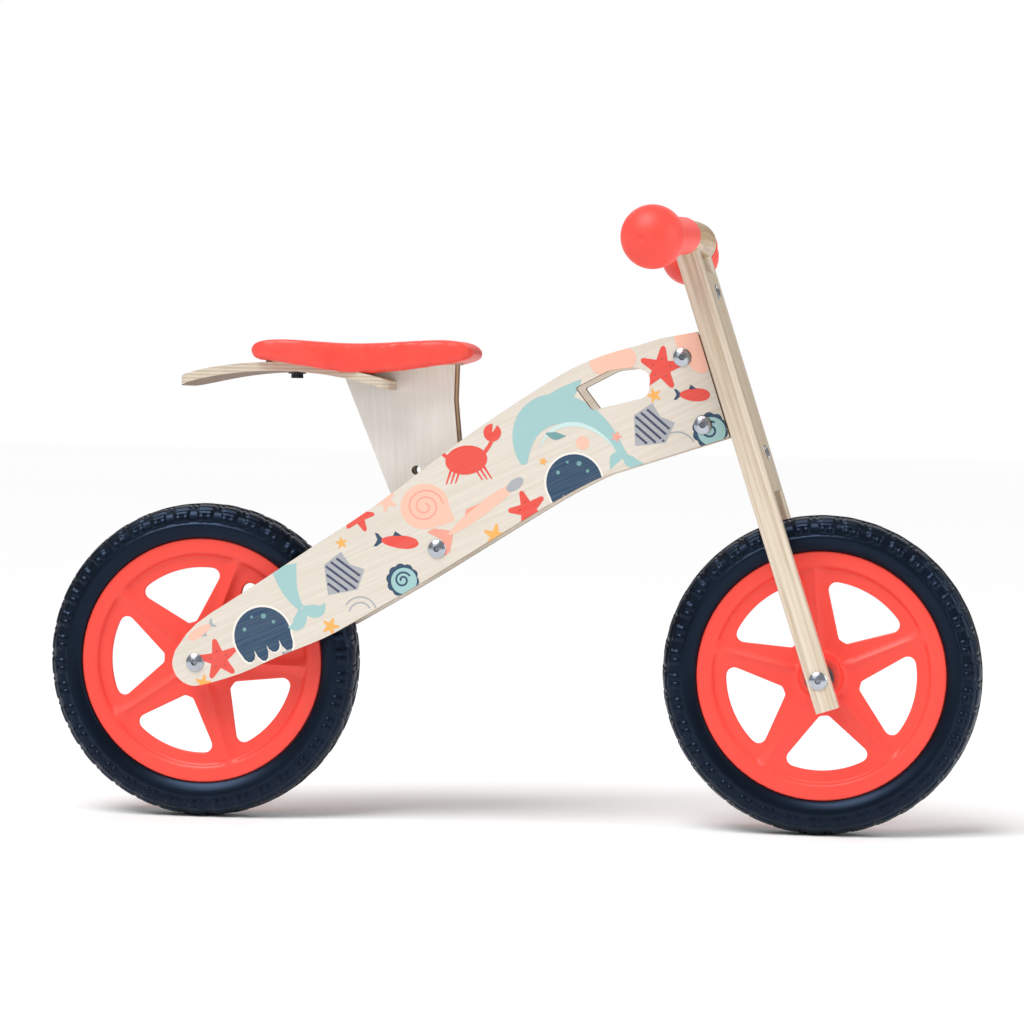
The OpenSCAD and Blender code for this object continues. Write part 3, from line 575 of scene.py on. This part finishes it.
# ---- Connector bolts, sleeves, pins and washers ----
# Steel, turned and zinc-plated. The domed heads are bright with a soft brushed ring from the lathe; the
# steering pin and the rear washers are plain drawn bar, and the bolt under the tail board is blackened.
def steel(name, code, rough, metallic=1.0):
    """Turned steel: fine marks from the tool, drawn 0.3 mm apart so that they show, and painted shade in its
    recesses.
    """
    material, tree, shader = finish_of(name, Metallic=metallic)
    place = add(tree, "TexCoord")
    cloud = add(tree, "TexNoise", {"Vector": place.outputs["Object"], "Scale": 120.0, "Detail": 3.0})
    tarnish = add(tree, "MapRange", {"Value": cloud.outputs["Fac"], "From Min": 0.35, "From Max": 0.75,
                                     "To Max": 0.35})
    colour = add(tree, "Mix", {"Factor": tarnish.outputs[0], "A": linear(code), "B": linear("#8E9296")},
                 data_type="RGBA")
    # Painted shade: ambient occlusion darkens the colour towards #1B1E24 in recesses and close to other parts.
    nook = add(tree, "AmbientOcclusion", {"Distance": 3.5 * MM}, samples=8)
    depth = add(tree, "MapRange", {"Value": nook.outputs["AO"], "From Min": 0.25, "From Max": 0.8})
    recess_painted_shade = add(tree, "Mix", {"Factor": depth.outputs[0], "A": linear("#1B1E24"),
                              "B": colour.outputs["Result"]}, data_type="RGBA")
    cut = add(tree, "TexNoise", {"Vector": place.outputs["Object"], "Scale": 1 / (0.3 * MM), "Detail": 1.0})
    surface(tree, shader, recess_painted_shade, cut.outputs["Fac"], (rough - 0.07, rough + 0.1), (0.35, 0.03))
    return material


zinc = steel("zinc_plated_steel", "#B9C0CA", 0.2)
drawn_bar = steel("drawn_steel_bar", "#B4B8BC", 0.32)
black_oxide = steel("blackened_steel", "#2A2C30", 0.42, metallic=0.8)
for node in ("rear_axle_sleeve", "rear_axle_bolt", "post_sleeve", "post_bolt", "head_sleeves", "head_bolts",
             "front_axle_sleeve", "front_axle_bolt", "board_bolts", "seat_tee_nut", "seat_screws"):
    dress(node, zinc, ease=0.25, keen=28)
for node in ("rear_washers", "steering_pin"):
    dress(node, drawn_bar, ease=0.25)
dress("seat_bolt", black_oxide, ease=0.3)


# ---- Bushes, spacers and collars ----
# Moulded nylon: natural white bushes in the head, and black for the hub bushes, the spacers and the
# steering collars. Slightly waxy, with a fine sheen.
def nylon(name, code):
    """Moulded nylon: low gloss, with the faint orange peel of the tool."""
    material, tree, shader = finish_of(name, IOR=1.53, Subsurface_Weight=0.08,
                                       Subsurface_Radius=(0.6, 0.6, 0.6), Subsurface_Scale=1 * MM)
    peel = add(tree, "TexNoise", {"Vector": add(tree, "TexCoord").outputs["Object"],
                                  "Scale": 1 / (0.8 * MM), "Detail": 2.0})
    shade = add(tree, "Mix", {"Factor": peel.outputs["Fac"], "A": linear(code), "B": linear("#5A5D62")},
                data_type="RGBA")
    soft = add(tree, "Mix", {"Factor": 0.12, "A": linear(code), "B": shade.outputs["Result"]},
               data_type="RGBA")
    surface(tree, shader, soft, peel.outputs["Fac"], (0.37, 0.5), (0.15, 0.05))
    return material


white_nylon = nylon("natural_nylon", "#E6E2D8")
black_nylon = nylon("black_nylon", "#3A3D42")
dress("head_bushes", white_nylon, ease=0.3)
for node in ("rear_bushes", "front_bushes", "front_spacers", "steering_collars"):
    dress(node, black_nylon, ease=0.4)


# ---- Seat post and tail board ----
# Two upright posts of 9 mm birch plywood, nearly white, with upright grain and scorched edges, and a
# moulded board of 8 mm beech veneers that sweeps back under the saddle. The top is varnished, the
# underside is left bare and painted dark brown as painted shade. The pan is plain plywood.
support_face = wood("pale_birch_post_face", "#F3EFE8", "#DFD8CE", 95, streak=1.2, length=36, gloss=0.45,
                    contrast=0.45)
support_edge = ply_edge("scorched_post_edge", "#A9835A", "#7E5A36", ply=1.29, char=0.5)
for side in ("right", "left"):
    dress("seat_support_" + side, support_face, support_edge, ACROSS, ease=1.3)
board_face = wood("moulded_beech_veneer_face", "#DCCDB4", "#BFA683", 0, streak=1.6, length=60, gloss=0.4)
board_edge = ply_edge("moulded_veneer_edge", "#D8CDBC", "#C6B6A0", sheets="Z", ply=1.6, char=0.14)
painted_shade_underside = wood("bare_beech_painted_shade_underside", "#8B6E57", "#5F4634", 0, streak=1.6, length=50, gloss=0.6, coat=0.0)
tail_board = dress("tail_board", board_face, board_edge, Vector((0, 0, 1)), ease=1.6)
tail_board.data.materials.append(painted_shade_underside)
# Faces that look down take the dark underside wood: painted shade under the board.
for polygon in tail_board.data.polygons:
    if polygon.normal.z < -0.9:
        polygon.material_index = 2
dress("seat_pan", board_face, board_edge, Vector((0, 0, 1)), ease=0.8)


# ---- Saddle cushion ----
# Foam under a sewn cover of synthetic leather, drawn over the pan. The pressure of the foam crowns the
# top and rounds the sides between the corners. The cover has a fine pebble and a soft satin shine.
vinyl, tree, shader = finish_of("red_synthetic_leather", IOR=1.48, Coat_Weight=0.12, Coat_Roughness=0.3)
place = add(tree, "TexCoord")
pebble = add(tree, "TexVoronoi", {"Vector": place.outputs["Object"], "Scale": 1 / (1.4 * MM)},
             feature="SMOOTH_F1")
crease = add(tree, "TexNoise", {"Vector": place.outputs["Object"], "Scale": 60.0, "Detail": 4.0})
fade = add(tree, "MapRange", {"Value": crease.outputs["Fac"], "From Min": 0.3, "From Max": 0.7})
colour = add(tree, "Mix", {"Factor": fade.outputs[0], "A": linear("#FC5042"), "B": linear("#F2463B")},
             data_type="RGBA")
surface(tree, shader, colour, pebble.outputs["Distance"], (0.38, 0.56), (0.22, 0.1))

source = frame["nodes"]["seat_cushion"]
cushion = bpy.data.objects.new("saddle_cushion", source.data.copy())
scene.collection.objects.link(cushion)
cushion.data.materials.clear()
build = bmesh.new()
build.from_mesh(cushion.data)
bmesh.ops.remove_doubles(build, verts=build.verts, dist=0.002 * MM)
seat_lo, seat_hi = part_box("seat_cushion")
seat_mid = (seat_lo + seat_hi) / 2
shrink = 0.995
for v in build.verts:
    v.co.x = seat_mid.x + (v.co.x - seat_mid.x) * shrink
    v.co.y *= shrink
build.to_mesh(cushion.data)
build.free()
bpy.context.view_layer.objects.active = cushion
remesh = cushion.modifiers.new("remesh", "REMESH")
remesh.mode = "VOXEL"
remesh.voxel_size = 3.0 * MM
remesh.use_smooth_shade = True
bpy.ops.object.modifier_apply(modifier="remesh")
rest = np.array([v.co for v in cushion.data.vertices])
pan_lo, pan_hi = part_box("seat_pan")
pump = cushion.modifiers.new("pump", "CLOTH")
pump.settings.use_pressure = True
pump.settings.uniform_pressure_force = 4.0
pump.settings.tension_stiffness = 20
pump.settings.bending_stiffness = 2.0
pump.settings.effector_weights.gravity = 0
for step in range(1, 21):
    scene.frame_set(step)
held = cushion.evaluated_get(bpy.context.evaluated_depsgraph_get())
blown = np.array([v.co for v in held.data.vertices])
scene.frame_set(1)
cushion.modifiers.remove(pump)
shift = blown - rest
far = np.linalg.norm(shift, axis=1)
x, y, z = rest.T
over_pan = (x > pan_lo.x - 1 * MM) & (x < pan_hi.x + 1 * MM) & (np.abs(y) < pan_hi.y + 1 * MM)
under = over_pan & (z < pan_hi.z + 2.5 * MM)
cap = np.where(under, 0.3, 1.1) * MM
shift *= np.minimum(1, cap / np.maximum(far, 1e-9))[:, None]
rest = rest + shift
cushion.data.vertices.foreach_set("co", rest.ravel())
soften = cushion.modifiers.new("soften", "SMOOTH")
soften.factor = 0.5
soften.iterations = 8
fine = cushion.modifiers.new("fine", "SUBSURF")
fine.levels = fine.render_levels = 1
cushion.data.materials.append(vinyl)
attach(cushion, "frame")
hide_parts("seat_cushion")


# ---- Wheel rims ----
# One-piece injection mouldings in bright red plastic, with five open windows, a low crease down each
# spoke, a stepped outer flange and a hub tube. The web is thin and set near the right face; behind it
# the moulding is hollow, with a rib along each spoke. The moulded skin is smooth with a satin shine.
red_plastic, tree, shader = finish_of("red_moulded_plastic", IOR=1.49, Coat_Weight=0.05,
                                      Coat_Roughness=0.2)
place = add(tree, "TexCoord")
flow = add(tree, "TexNoise", {"Vector": place.outputs["Object"], "Scale": 14.0, "Detail": 2.0})
colour = add(tree, "Mix", {"Factor": flow.outputs["Fac"], "A": linear("#FB4C3E"), "B": linear("#F4463A")},
             data_type="RGBA")
peel = add(tree, "TexNoise", {"Vector": place.outputs["Object"], "Scale": 1 / (0.9 * MM), "Detail": 2.0})
surface(tree, shader, colour, peel.outputs["Fac"], (0.36, 0.5), (0.12, 0.04))

SPOKES = 5
window_r = 84.5  # outer arc of a window, in mm
window_neck = (35.7, 3.9)  # its inner corner: along the window and half across it
window_slope = 0.96  # its side's rise per mm along it
face_step = [  # radius and height of the right face above the wheel's middle plane, in mm
    (8.05, 27.4), (8.6, 28), (17.0, 28), (17.7, 27.6), (18.0, 26.5), (18.4, 20), (19.6, 15.5), (21.5, 13.4),
    (24, 12.4), (27, 12.0), (31, 12.0), (86.2, 12.0), (91, 12.0), (93.6, 12.2), (95.0, 12.7), (95.8, 13.6),
    (96.6, 14.8), (97.4, 15.6), (98.6, 16.2), (100.4, 16.5), (104, 16.5), (109.4, 16.5), (110.4, 16.2),
    (111, 15.4),
]
back_step = [  # the same for the hollow left face: hub tube, thin web, flange
    (8.05, 27.4), (8.6, 28), (16.4, 28), (17.2, 27.4), (17.8, 26), (18.6, 2), (19.6, -6.0), (21.5, -8.4),
    (24, -9.2), (27, -9.4), (31, -9.4), (86.2, -9.4), (91, -9.2), (93.6, -8.4), (95.0, -7.0), (95.8, -5),
    (96.6, 2.0), (97.4, 9.0), (98.6, 14.5), (100.4, 16.3), (104, 16.5), (109.4, 16.5), (110.4, 16.2),
    (111, 15.4),
]
step_r, step_y = np.array(face_step).T
back_y = np.array(back_step)[:, 1]


def corner(a, b, c, r, n=6):
    """The corner at b between a and c, rounded with radius r."""
    a, b, c = (np.array(p, float) for p in (a, b, c))
    u, v = (a - b) / np.linalg.norm(a - b), (c - b) / np.linalg.norm(c - b)
    half = math.acos(float(u @ v)) / 2
    middle = b + (u + v) / np.linalg.norm(u + v) * r / math.sin(half)
    p, q = b + u * r / math.tan(half), b + v * r / math.tan(half)
    a0 = math.atan2(*(p - middle)[::-1])
    swing = (math.atan2(*(q - middle)[::-1]) - a0 + math.pi) % (2 * math.pi) - math.pi
    return [middle + r * np.array((math.cos(a0 + swing * i / n), math.sin(a0 + swing * i / n)))
            for i in range(n + 1)]


def even_steps(loop, step):
    """A closed loop walked again in equal steps."""
    loop = np.vstack((loop, loop[:1]))
    run = np.concatenate(([0], np.cumsum(np.hypot(*np.diff(loop, axis=0).T))))
    stops = np.linspace(0, run[-1], int(run[-1] / step) + 1)[:-1]
    return np.stack([np.interp(stops, run, loop[:, k]) for k in (0, 1)], 1)


# A window's side runs from its neck at window_slope until it meets the outer arc.
steep = 1 + window_slope ** 2
toward = window_neck[0] + window_slope * window_neck[1]
beyond = window_neck[0] ** 2 + window_neck[1] ** 2 - window_r ** 2
reach = window_neck[0] + (math.sqrt(toward ** 2 - steep * beyond) - toward) / steep
shoulder = (reach, window_neck[1] + window_slope * (reach - window_neck[0]))
bend = math.atan2(shoulder[1], shoulder[0])
rim_arc = [(window_r * math.cos(bend * t), window_r * math.sin(bend * t)) for t in np.linspace(-0.72, 0.72, 21)]
lower_shoulder, lower_neck = (shoulder[0], -shoulder[1]), (window_neck[0], -window_neck[1])
window = np.array(
    corner(window_neck, lower_neck, lower_shoulder, 3.2)
    + corner(lower_neck, lower_shoulder, rim_arc[0], 7, 8) + rim_arc
    + corner(rim_arc[-1], shoulder, window_neck, 7, 8) + corner(shoulder, window_neck, lower_neck, 3.2))
window = even_steps(window, 2.0)


def spin(points, angle):
    """Points turned about the wheel's centre."""
    c, s = math.cos(angle), math.sin(angle)
    return np.asarray(points) @ np.array(((c, s), (-s, c)))


def distance_to(loop, points):
    """Shortest distance from each point to a closed loop."""
    a, b = loop, np.roll(loop, -1, 0)
    d = b - a
    t = np.clip(((points[:, None] - a) * d).sum(2) / (d * d).sum(1), 0, 1)
    return np.linalg.norm(points[:, None] - (a + t[..., None] * d), axis=2).min(1)


def moulding():
    """Points and triangles of a rim's faces, flat in the wheel's plane, and the heights of both, in mm."""
    lip = 1.2  # rounded edge of the windows
    crease, rib = 3.0, 7.0  # heights on a spoke's right face and behind it
    out_of = np.roll(window, -1, 0) - np.roll(window, 1, 0)
    out_of = np.stack((out_of[:, 1], -out_of[:, 0]), 1) / np.linalg.norm(out_of, axis=1)[:, None]
    loops = [spin(window + out_of * d, 2 * math.pi * k / SPOKES)
             for k in range(SPOKES) for d in (0, 0.15, 0.4, 0.8, lip)]
    openings = [spin(window, 2 * math.pi * k / SPOKES) for k in range(SPOKES)]
    around = np.arange(240) / 240 * 2 * math.pi
    circles = [r * np.stack((np.cos(around), np.sin(around)), 1) for r, _ in face_step if r < 32 or r > 86.5]
    bars = []
    for k in range(SPOKES):
        a = 2 * math.pi * (k + 0.5) / SPOKES
        for off in (0, -0.6, 0.6, -1.6, 1.6, -3.4, 3.4, -6.4, 6.4, -10, 10):
            line = np.array([(r, off) for r in np.arange(30, 96, 2.2)])
            far = np.min([distance_to(q, spin(line, a)) for q in openings], axis=0)
            bars.append(spin(line[far > lip + 1.0], a))
    corners, edges = [], []
    for loop in loops + circles:
        first = len(corners)
        corners += [Vector(p) for p in loop.tolist()]
        edges += [(first + i, first + (i + 1) % len(loop)) for i in range(len(loop))]
    for bar in bars:
        corners += [Vector(p) for p in bar.tolist()]
    points, _, faces, *_ = delaunay_2d_cdt(corners, edges, [], 0, 1e-4)
    points, faces = np.array([tuple(p) for p in points]), np.array(faces)
    middle = points[faces].mean(1)
    keep = (np.hypot(*middle.T) > step_r[0])
    for q in openings:
        keep &= ~inside(q, middle)
    faces = faces[keep]
    radius = np.hypot(*points.T)
    height = np.interp(radius, step_r, step_y)
    away = np.min([distance_to(q, points) for q in openings], axis=0)
    edge = np.clip(1 - away / lip, 0, 1)
    height -= lip * (1 - np.sqrt(1 - edge ** 2)) * 0.9
    back = np.interp(radius, step_r, back_y)
    angle = np.arctan2(points[:, 1], points[:, 0])
    spoke = (angle / (2 * math.pi / SPOKES)) % 1 - 0.5
    off = np.abs(radius * np.sin(spoke * 2 * math.pi / SPOKES))
    fade_in = np.clip((radius - 19) / 8, 0, 1) * np.clip((97.5 - radius) / 2.5, 0, 1)
    flare = 5.2 + 5 * np.clip((radius - 74) / 20, 0, 1) ** 2
    height += crease * np.clip(1 - off / flare, 0, 1) * fade_in
    back += rib * np.clip(2.6 - off, 0, 1) * fade_in
    return points, faces, height, back


flat_points, flat_faces, right_face, left_face = moulding()
flat_radius = np.hypot(*flat_points.T)


def rim(end, body, spoke_at):
    """One rim with a spoke at so many degrees: both faces, the window walls, the bore and the channel
    that seats the tyre."""
    n = len(flat_points)
    spun = spin(flat_points, math.radians(spoke_at + 180 / SPOKES))
    centre = np.array(hub_centre[end])
    corners = np.empty((2 * n, 3))
    for k, height in enumerate((-right_face, left_face)):
        corners[k * n : (k + 1) * n] = np.stack((spun[:, 0], height, spun[:, 1]), 1)
    flat = flat_faces.tolist()
    faces = [(a, b, c) for a, b, c in flat] + [(c + n, b + n, a + n) for a, b, c in flat]
    once = {}
    for a, b, c in flat:
        for pair in ((a, b), (b, c), (c, a)):
            if pair[::-1] in once:
                del once[pair[::-1]]
            else:
                once[pair] = True
    extra, rows = [], {}
    channel = [(111, -13.6), (104, -13.5), (104, 13.5), (111, 13.6)]
    for a, b in once:
        if flat_radius[a] < 110.9:
            faces.append((b, a, a + n, b + n))
            continue
        for v in (a, b):
            if v not in rows:
                rows[v] = [v] + [2 * n + len(extra) + i for i in range(4)] + [v + n]
                outward = spun[v] / flat_radius[v]
                extra += [(outward[0] * r, y, outward[1] * r) for r, y in channel]
        for i in range(5):
            faces.append((rows[b][i], rows[a][i], rows[a][i + 1], rows[b][i + 1]))
    corners = np.vstack((corners, np.array(extra))) * MM + centre
    piece = put_mesh(end + "_wheel_rim", corners, faces, [red_plastic])
    crisp = piece.modifiers.new("even_shading", "WEIGHTED_NORMAL")
    crisp.weight = 60
    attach(piece, body)
    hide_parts(end + "_rim")


rim("rear", "rear_wheel", 70)
rim("front", "front_wheel", 23)


# ---- Tyres ----
# Closed-cell foam, moulded whole and stretched over the rim: a smooth lower wall, rounded lugs in
# pairs at the shoulder, a groove, and blocks across the crown. The skin is a dull blue-black.
foam, tree, shader = finish_of("blue_black_eva_foam", IOR=1.45, Specular_Tint=linear("#9FC0F5"))
place = add(tree, "TexCoord")
cells = add(tree, "TexNoise", {"Vector": place.outputs["Object"], "Scale": 1 / (1.1 * MM), "Detail": 3.0})
scuff = add(tree, "TexNoise", {"Vector": place.outputs["Object"], "Scale": 26.0, "Detail": 5.0})
worn = add(tree, "MapRange", {"Value": scuff.outputs["Fac"], "From Min": 0.45, "From Max": 0.75,
                              "To Max": 0.5})
colour = add(tree, "Mix", {"Factor": worn.outputs[0], "A": linear("#02060C"), "B": linear("#091220")},
             data_type="RGBA")
surface(tree, shader, colour, cells.outputs["Fac"], (0.26, 0.4), (0.2, 0.12))

PITCHES = 38  # repeats of the tread round the tyre
COLUMNS = 22  # steps in one repeat
wall = np.array([  # radius and half width of the tyre's section, in mm
    (104, 13.45), (111, 13.5), (111.2, 17), (113, 18.8), (115.5, 20.3), (118.5, 21.7), (122, 22.5),
    (126, 22.5), (130, 22.3), (133.5, 21.3), (136.4, 19), (139, 16), (140.8, 12.2), (141.9, 8),
    (142.4, 4), (142.5, 0)])
tread_from, groove_from, crown_from = 124.3, 134.4, 136.4  # radii where the lugs, groove and crown start


def bump_at(u, v, u0, v0, du, dv, soft=0.2):
    """1 on a rounded block about (u0, v0), 0 outside it, with a soft shoulder."""
    far = np.maximum(np.abs((u - u0 + 0.5) % 1 - 0.5) / du, np.abs(v - v0) / dv)
    near = np.hypot(((u - u0 + 0.5) % 1 - 0.5) / du, (v - v0) / dv) / 1.25
    return np.clip((1 - np.maximum(far, near)) / soft, 0, 1)


def tyre(end, body):
    """One tyre: its section walked in fine steps, swept round, and pushed in between the lugs."""
    run = np.concatenate(([0], np.cumsum(np.hypot(*np.diff(wall, axis=0).T))))
    bead = run[2]
    stops = np.concatenate(([0, 3.5, 7.0], np.linspace(bead, run[-1], 42)))
    half = np.stack([np.interp(stops, run, wall[:, k]) for k in (0, 1)], 1)
    section = np.vstack((half, (half * (1, -1))[-2::-1]))
    along = np.gradient(section, axis=0)
    out = np.stack((-along[:, 1], along[:, 0]), 1)
    out /= np.linalg.norm(out, axis=1)[:, None]
    out *= np.where((out[:, :1] * (section[:, :1] - 118) + out[:, 1:] * section[:, 1:]) < 0, -1, 1)
    n = PITCHES * COLUMNS
    around = np.arange(n) / n * 2 * math.pi
    u = np.broadcast_to((np.arange(n) / COLUMNS)[:, None], (n, len(section)))
    r = np.broadcast_to(section[:, 0], u.shape)
    y = np.broadcast_to(section[:, 1], u.shape)
    u = u + np.where(y > 0, 0.5, 0.0)
    tread = np.clip((r - tread_from) / 1.4, 0, 1)
    large = np.maximum(bump_at(u, r, 0.2, 130.0, 0.13, 3.4), bump_at(u, r, 0.52, 130.0, 0.13, 3.4))
    small = bump_at(u, r, 0.36, 135.4, 0.34, 1.7)
    crown = np.maximum(bump_at(u, np.abs(y), 0.36, 12.6, 0.4, 5.0, 0.3),
                       bump_at(u, np.abs(y), 0.88, 11.4, 0.07, 4.2, 0.3))
    crown = np.where(r > crown_from, crown, 0)
    middle = bump_at(u, np.abs(y), 0.05, 3.4, 0.4, 3.8, 0.3)
    raised = np.maximum.reduce([large, small, crown, middle * (r > 141)])
    push = -np.where(r > groove_from, 1.3, 1.6) * tread * (1 - raised)
    r_out = r + push * out[:, 0]
    y_out = y + push * out[:, 1]
    m = len(section)
    c, s = np.cos(around)[:, None], np.sin(around)[:, None]
    corners = np.stack((r_out * c, y_out, r_out * s), 2).reshape(-1, 3)
    i, j = np.meshgrid(np.arange(n), np.arange(m), indexing="ij")
    i1, j1 = (i + 1) % n, (j + 1) % m
    faces = np.stack((i * m + j, i1 * m + j, i1 * m + j1, i * m + j1), 2).reshape(-1, 4)
    piece = put_mesh(end + "_foam_tyre", corners * MM + np.array(hub_centre[end]), faces.tolist(), [foam])
    build = bmesh.new()
    build.from_mesh(piece.data)
    bmesh.ops.recalc_face_normals(build, faces=build.faces)
    build.to_mesh(piece.data)
    build.free()
    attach(piece, body)
    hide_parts(end + "_tyre")


tyre("rear", "rear_wheel")
tyre("front", "front_wheel")


# ---- Fork ----
# Two legs of solid pine, planed with rounded corners and varnished, and a plywood board screwed across
# their front. The grain runs up the legs in fine dark lines, and the rounded corners catch the light.
steer_axis = Vector(next(j for j in frame["joints"] if j["name"] == "steer")["axis"])
rake = math.degrees(math.asin(-steer_axis.x))
leg_wood = wood("varnished_pine_leg", "#E4D8C6", "#BDA88B", 90 + rake, streak=1.6, length=110, gloss=0.34,
                contrast=0.9, coat=0.35)
for side in ("right", "left"):
    dress("fork_leg_" + side, leg_wood, ease=0.7)
FORWARD = Vector((math.cos(math.radians(rake)), 0, math.sin(math.radians(rake))))
board_wood = wood("varnished_birch_board", "#D6C4AA", "#AE9472", 90 + rake, streak=1.8, length=90,
                  gloss=0.42, contrast=0.7)
dress("front_board", board_wood, plate_edge, FORWARD, ease=0.5)


# ---- Handlebar ----
# A turned and steam-bent beech bar, waxed. It is doweled to the tops of both legs, and its grain shows as
# long brown streaks across the bike.
bar_wood = wood("turned_beech_bar", "#CDAE80", "#98713F", "Y", streak=2.0, length=60, gloss=0.36, coat=0.3)
dress("handlebar", bar_wood, ease=0.6)


# ---- Grips ----
# Soft rubber moulded in one piece: a sleeve over the bar that swells into a safety ball, with a moulding
# ring round the ball, a rounded inner lip and a small vent dimple at the tip.
rubber, tree, shader = finish_of("red_soft_rubber", IOR=1.5, Sheen_Weight=0.06, Sheen_Roughness=0.4)
place = add(tree, "TexCoord")
bloom = add(tree, "TexNoise", {"Vector": place.outputs["Object"], "Scale": 35.0, "Detail": 3.0})
colour = add(tree, "Mix", {"Factor": bloom.outputs["Fac"], "A": linear("#FB4C3F"), "B": linear("#F4483C")},
             data_type="RGBA")
skin = add(tree, "TexNoise", {"Vector": place.outputs["Object"], "Scale": 1 / (0.6 * MM), "Detail": 2.0})
surface(tree, shader, colour, skin.outputs["Fac"], (0.42, 0.58), (0.15, 0.04))

bar_bow = 627  # radius of the bar's bend, in mm
bar_middle = 7.6  # the bar's middle, forward of the line through the axle along the legs
bar_up = 403.7  # and its height above the axle along that line
bar_r = 14.5
sleeve_r = 16.4
sleeve_from = 80  # inner end of a sleeve, from the bike's middle
ball_r = 27.2
ball_reach = 170  # the ball's centre, from the bike's middle


def from_fork(s, y, h):
    """A point s forward of the leg's line, y sideways and h up the fork, in mm, as a place in metres."""
    axle = hub_centre["front"]
    c, up = math.cos(math.radians(rake)), math.sin(math.radians(rake))
    return Vector((axle.x + (s * c - h * up) * MM, y * MM, axle.z + (s * up + h * c) * MM))


def grip_profile():
    """Distance along the bar from the ball's centre towards the middle, and radius, tip first."""
    pairs = [(-ball_r + 1.6, 0.01), (-ball_r + 1.5, 1.2), (-ball_r + 0.5, 2.4), (-ball_r + 0.25, 3.6)]
    neck = math.acos(sleeve_r / ball_r * 1.02)
    for i in range(40):
        a = math.radians(8.5) + (math.pi - math.radians(8.5) - (math.pi / 2 - neck)) * i / 39
        r = ball_r - 0.45 * math.exp(-((math.degrees(a) - 112) / 1.6) ** 2)
        pairs.append((-r * math.cos(a), r * math.sin(a)))
    start = pairs[-1][0]
    pairs += [(start + 1.2, sleeve_r + 0.15), (start + 2.6, sleeve_r - 0.25), (start + 4.0, sleeve_r)]
    long = ball_reach - sleeve_from
    pairs += [(x, sleeve_r) for x in np.linspace(start + 8, long - 4, 12)]
    pairs += [(long - 4 + 4 * math.sin(t), sleeve_r - 1.4 + 1.4 * math.cos(t))
              for t in np.linspace(0.3, math.pi / 2, 5)]
    return pairs + [(long, bar_r + 0.05), (long - 3, bar_r + 0.03)]


def grip(side_name, side):
    """One grip: its profile turned about the bar's bent centre line."""
    turns = 72
    profile = grip_profile()
    corners, faces = [], []
    arc_centre = bar_middle - bar_bow
    for x, r in profile:
        a = math.asin(ball_reach / bar_bow) - x / bar_bow
        for k in range(turns):
            b = 2 * math.pi * k / turns
            out = bar_bow + r * math.cos(b)
            corners.append(from_fork(arc_centre + out * math.cos(a), side * out * math.sin(a),
                                     bar_up + r * math.sin(b)))
    for i in range(len(profile) - 1):
        for k in range(turns):
            k1 = (k + 1) % turns
            quad = (i * turns + k, i * turns + k1, (i + 1) * turns + k1, (i + 1) * turns + k)
            faces.append(quad[::side])
    piece = put_mesh(side_name + "_ball_grip", corners, faces, [rubber])
    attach(piece, "fork")
    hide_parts("grip_" + side_name)


grip("right", -1)
grip("left", 1)
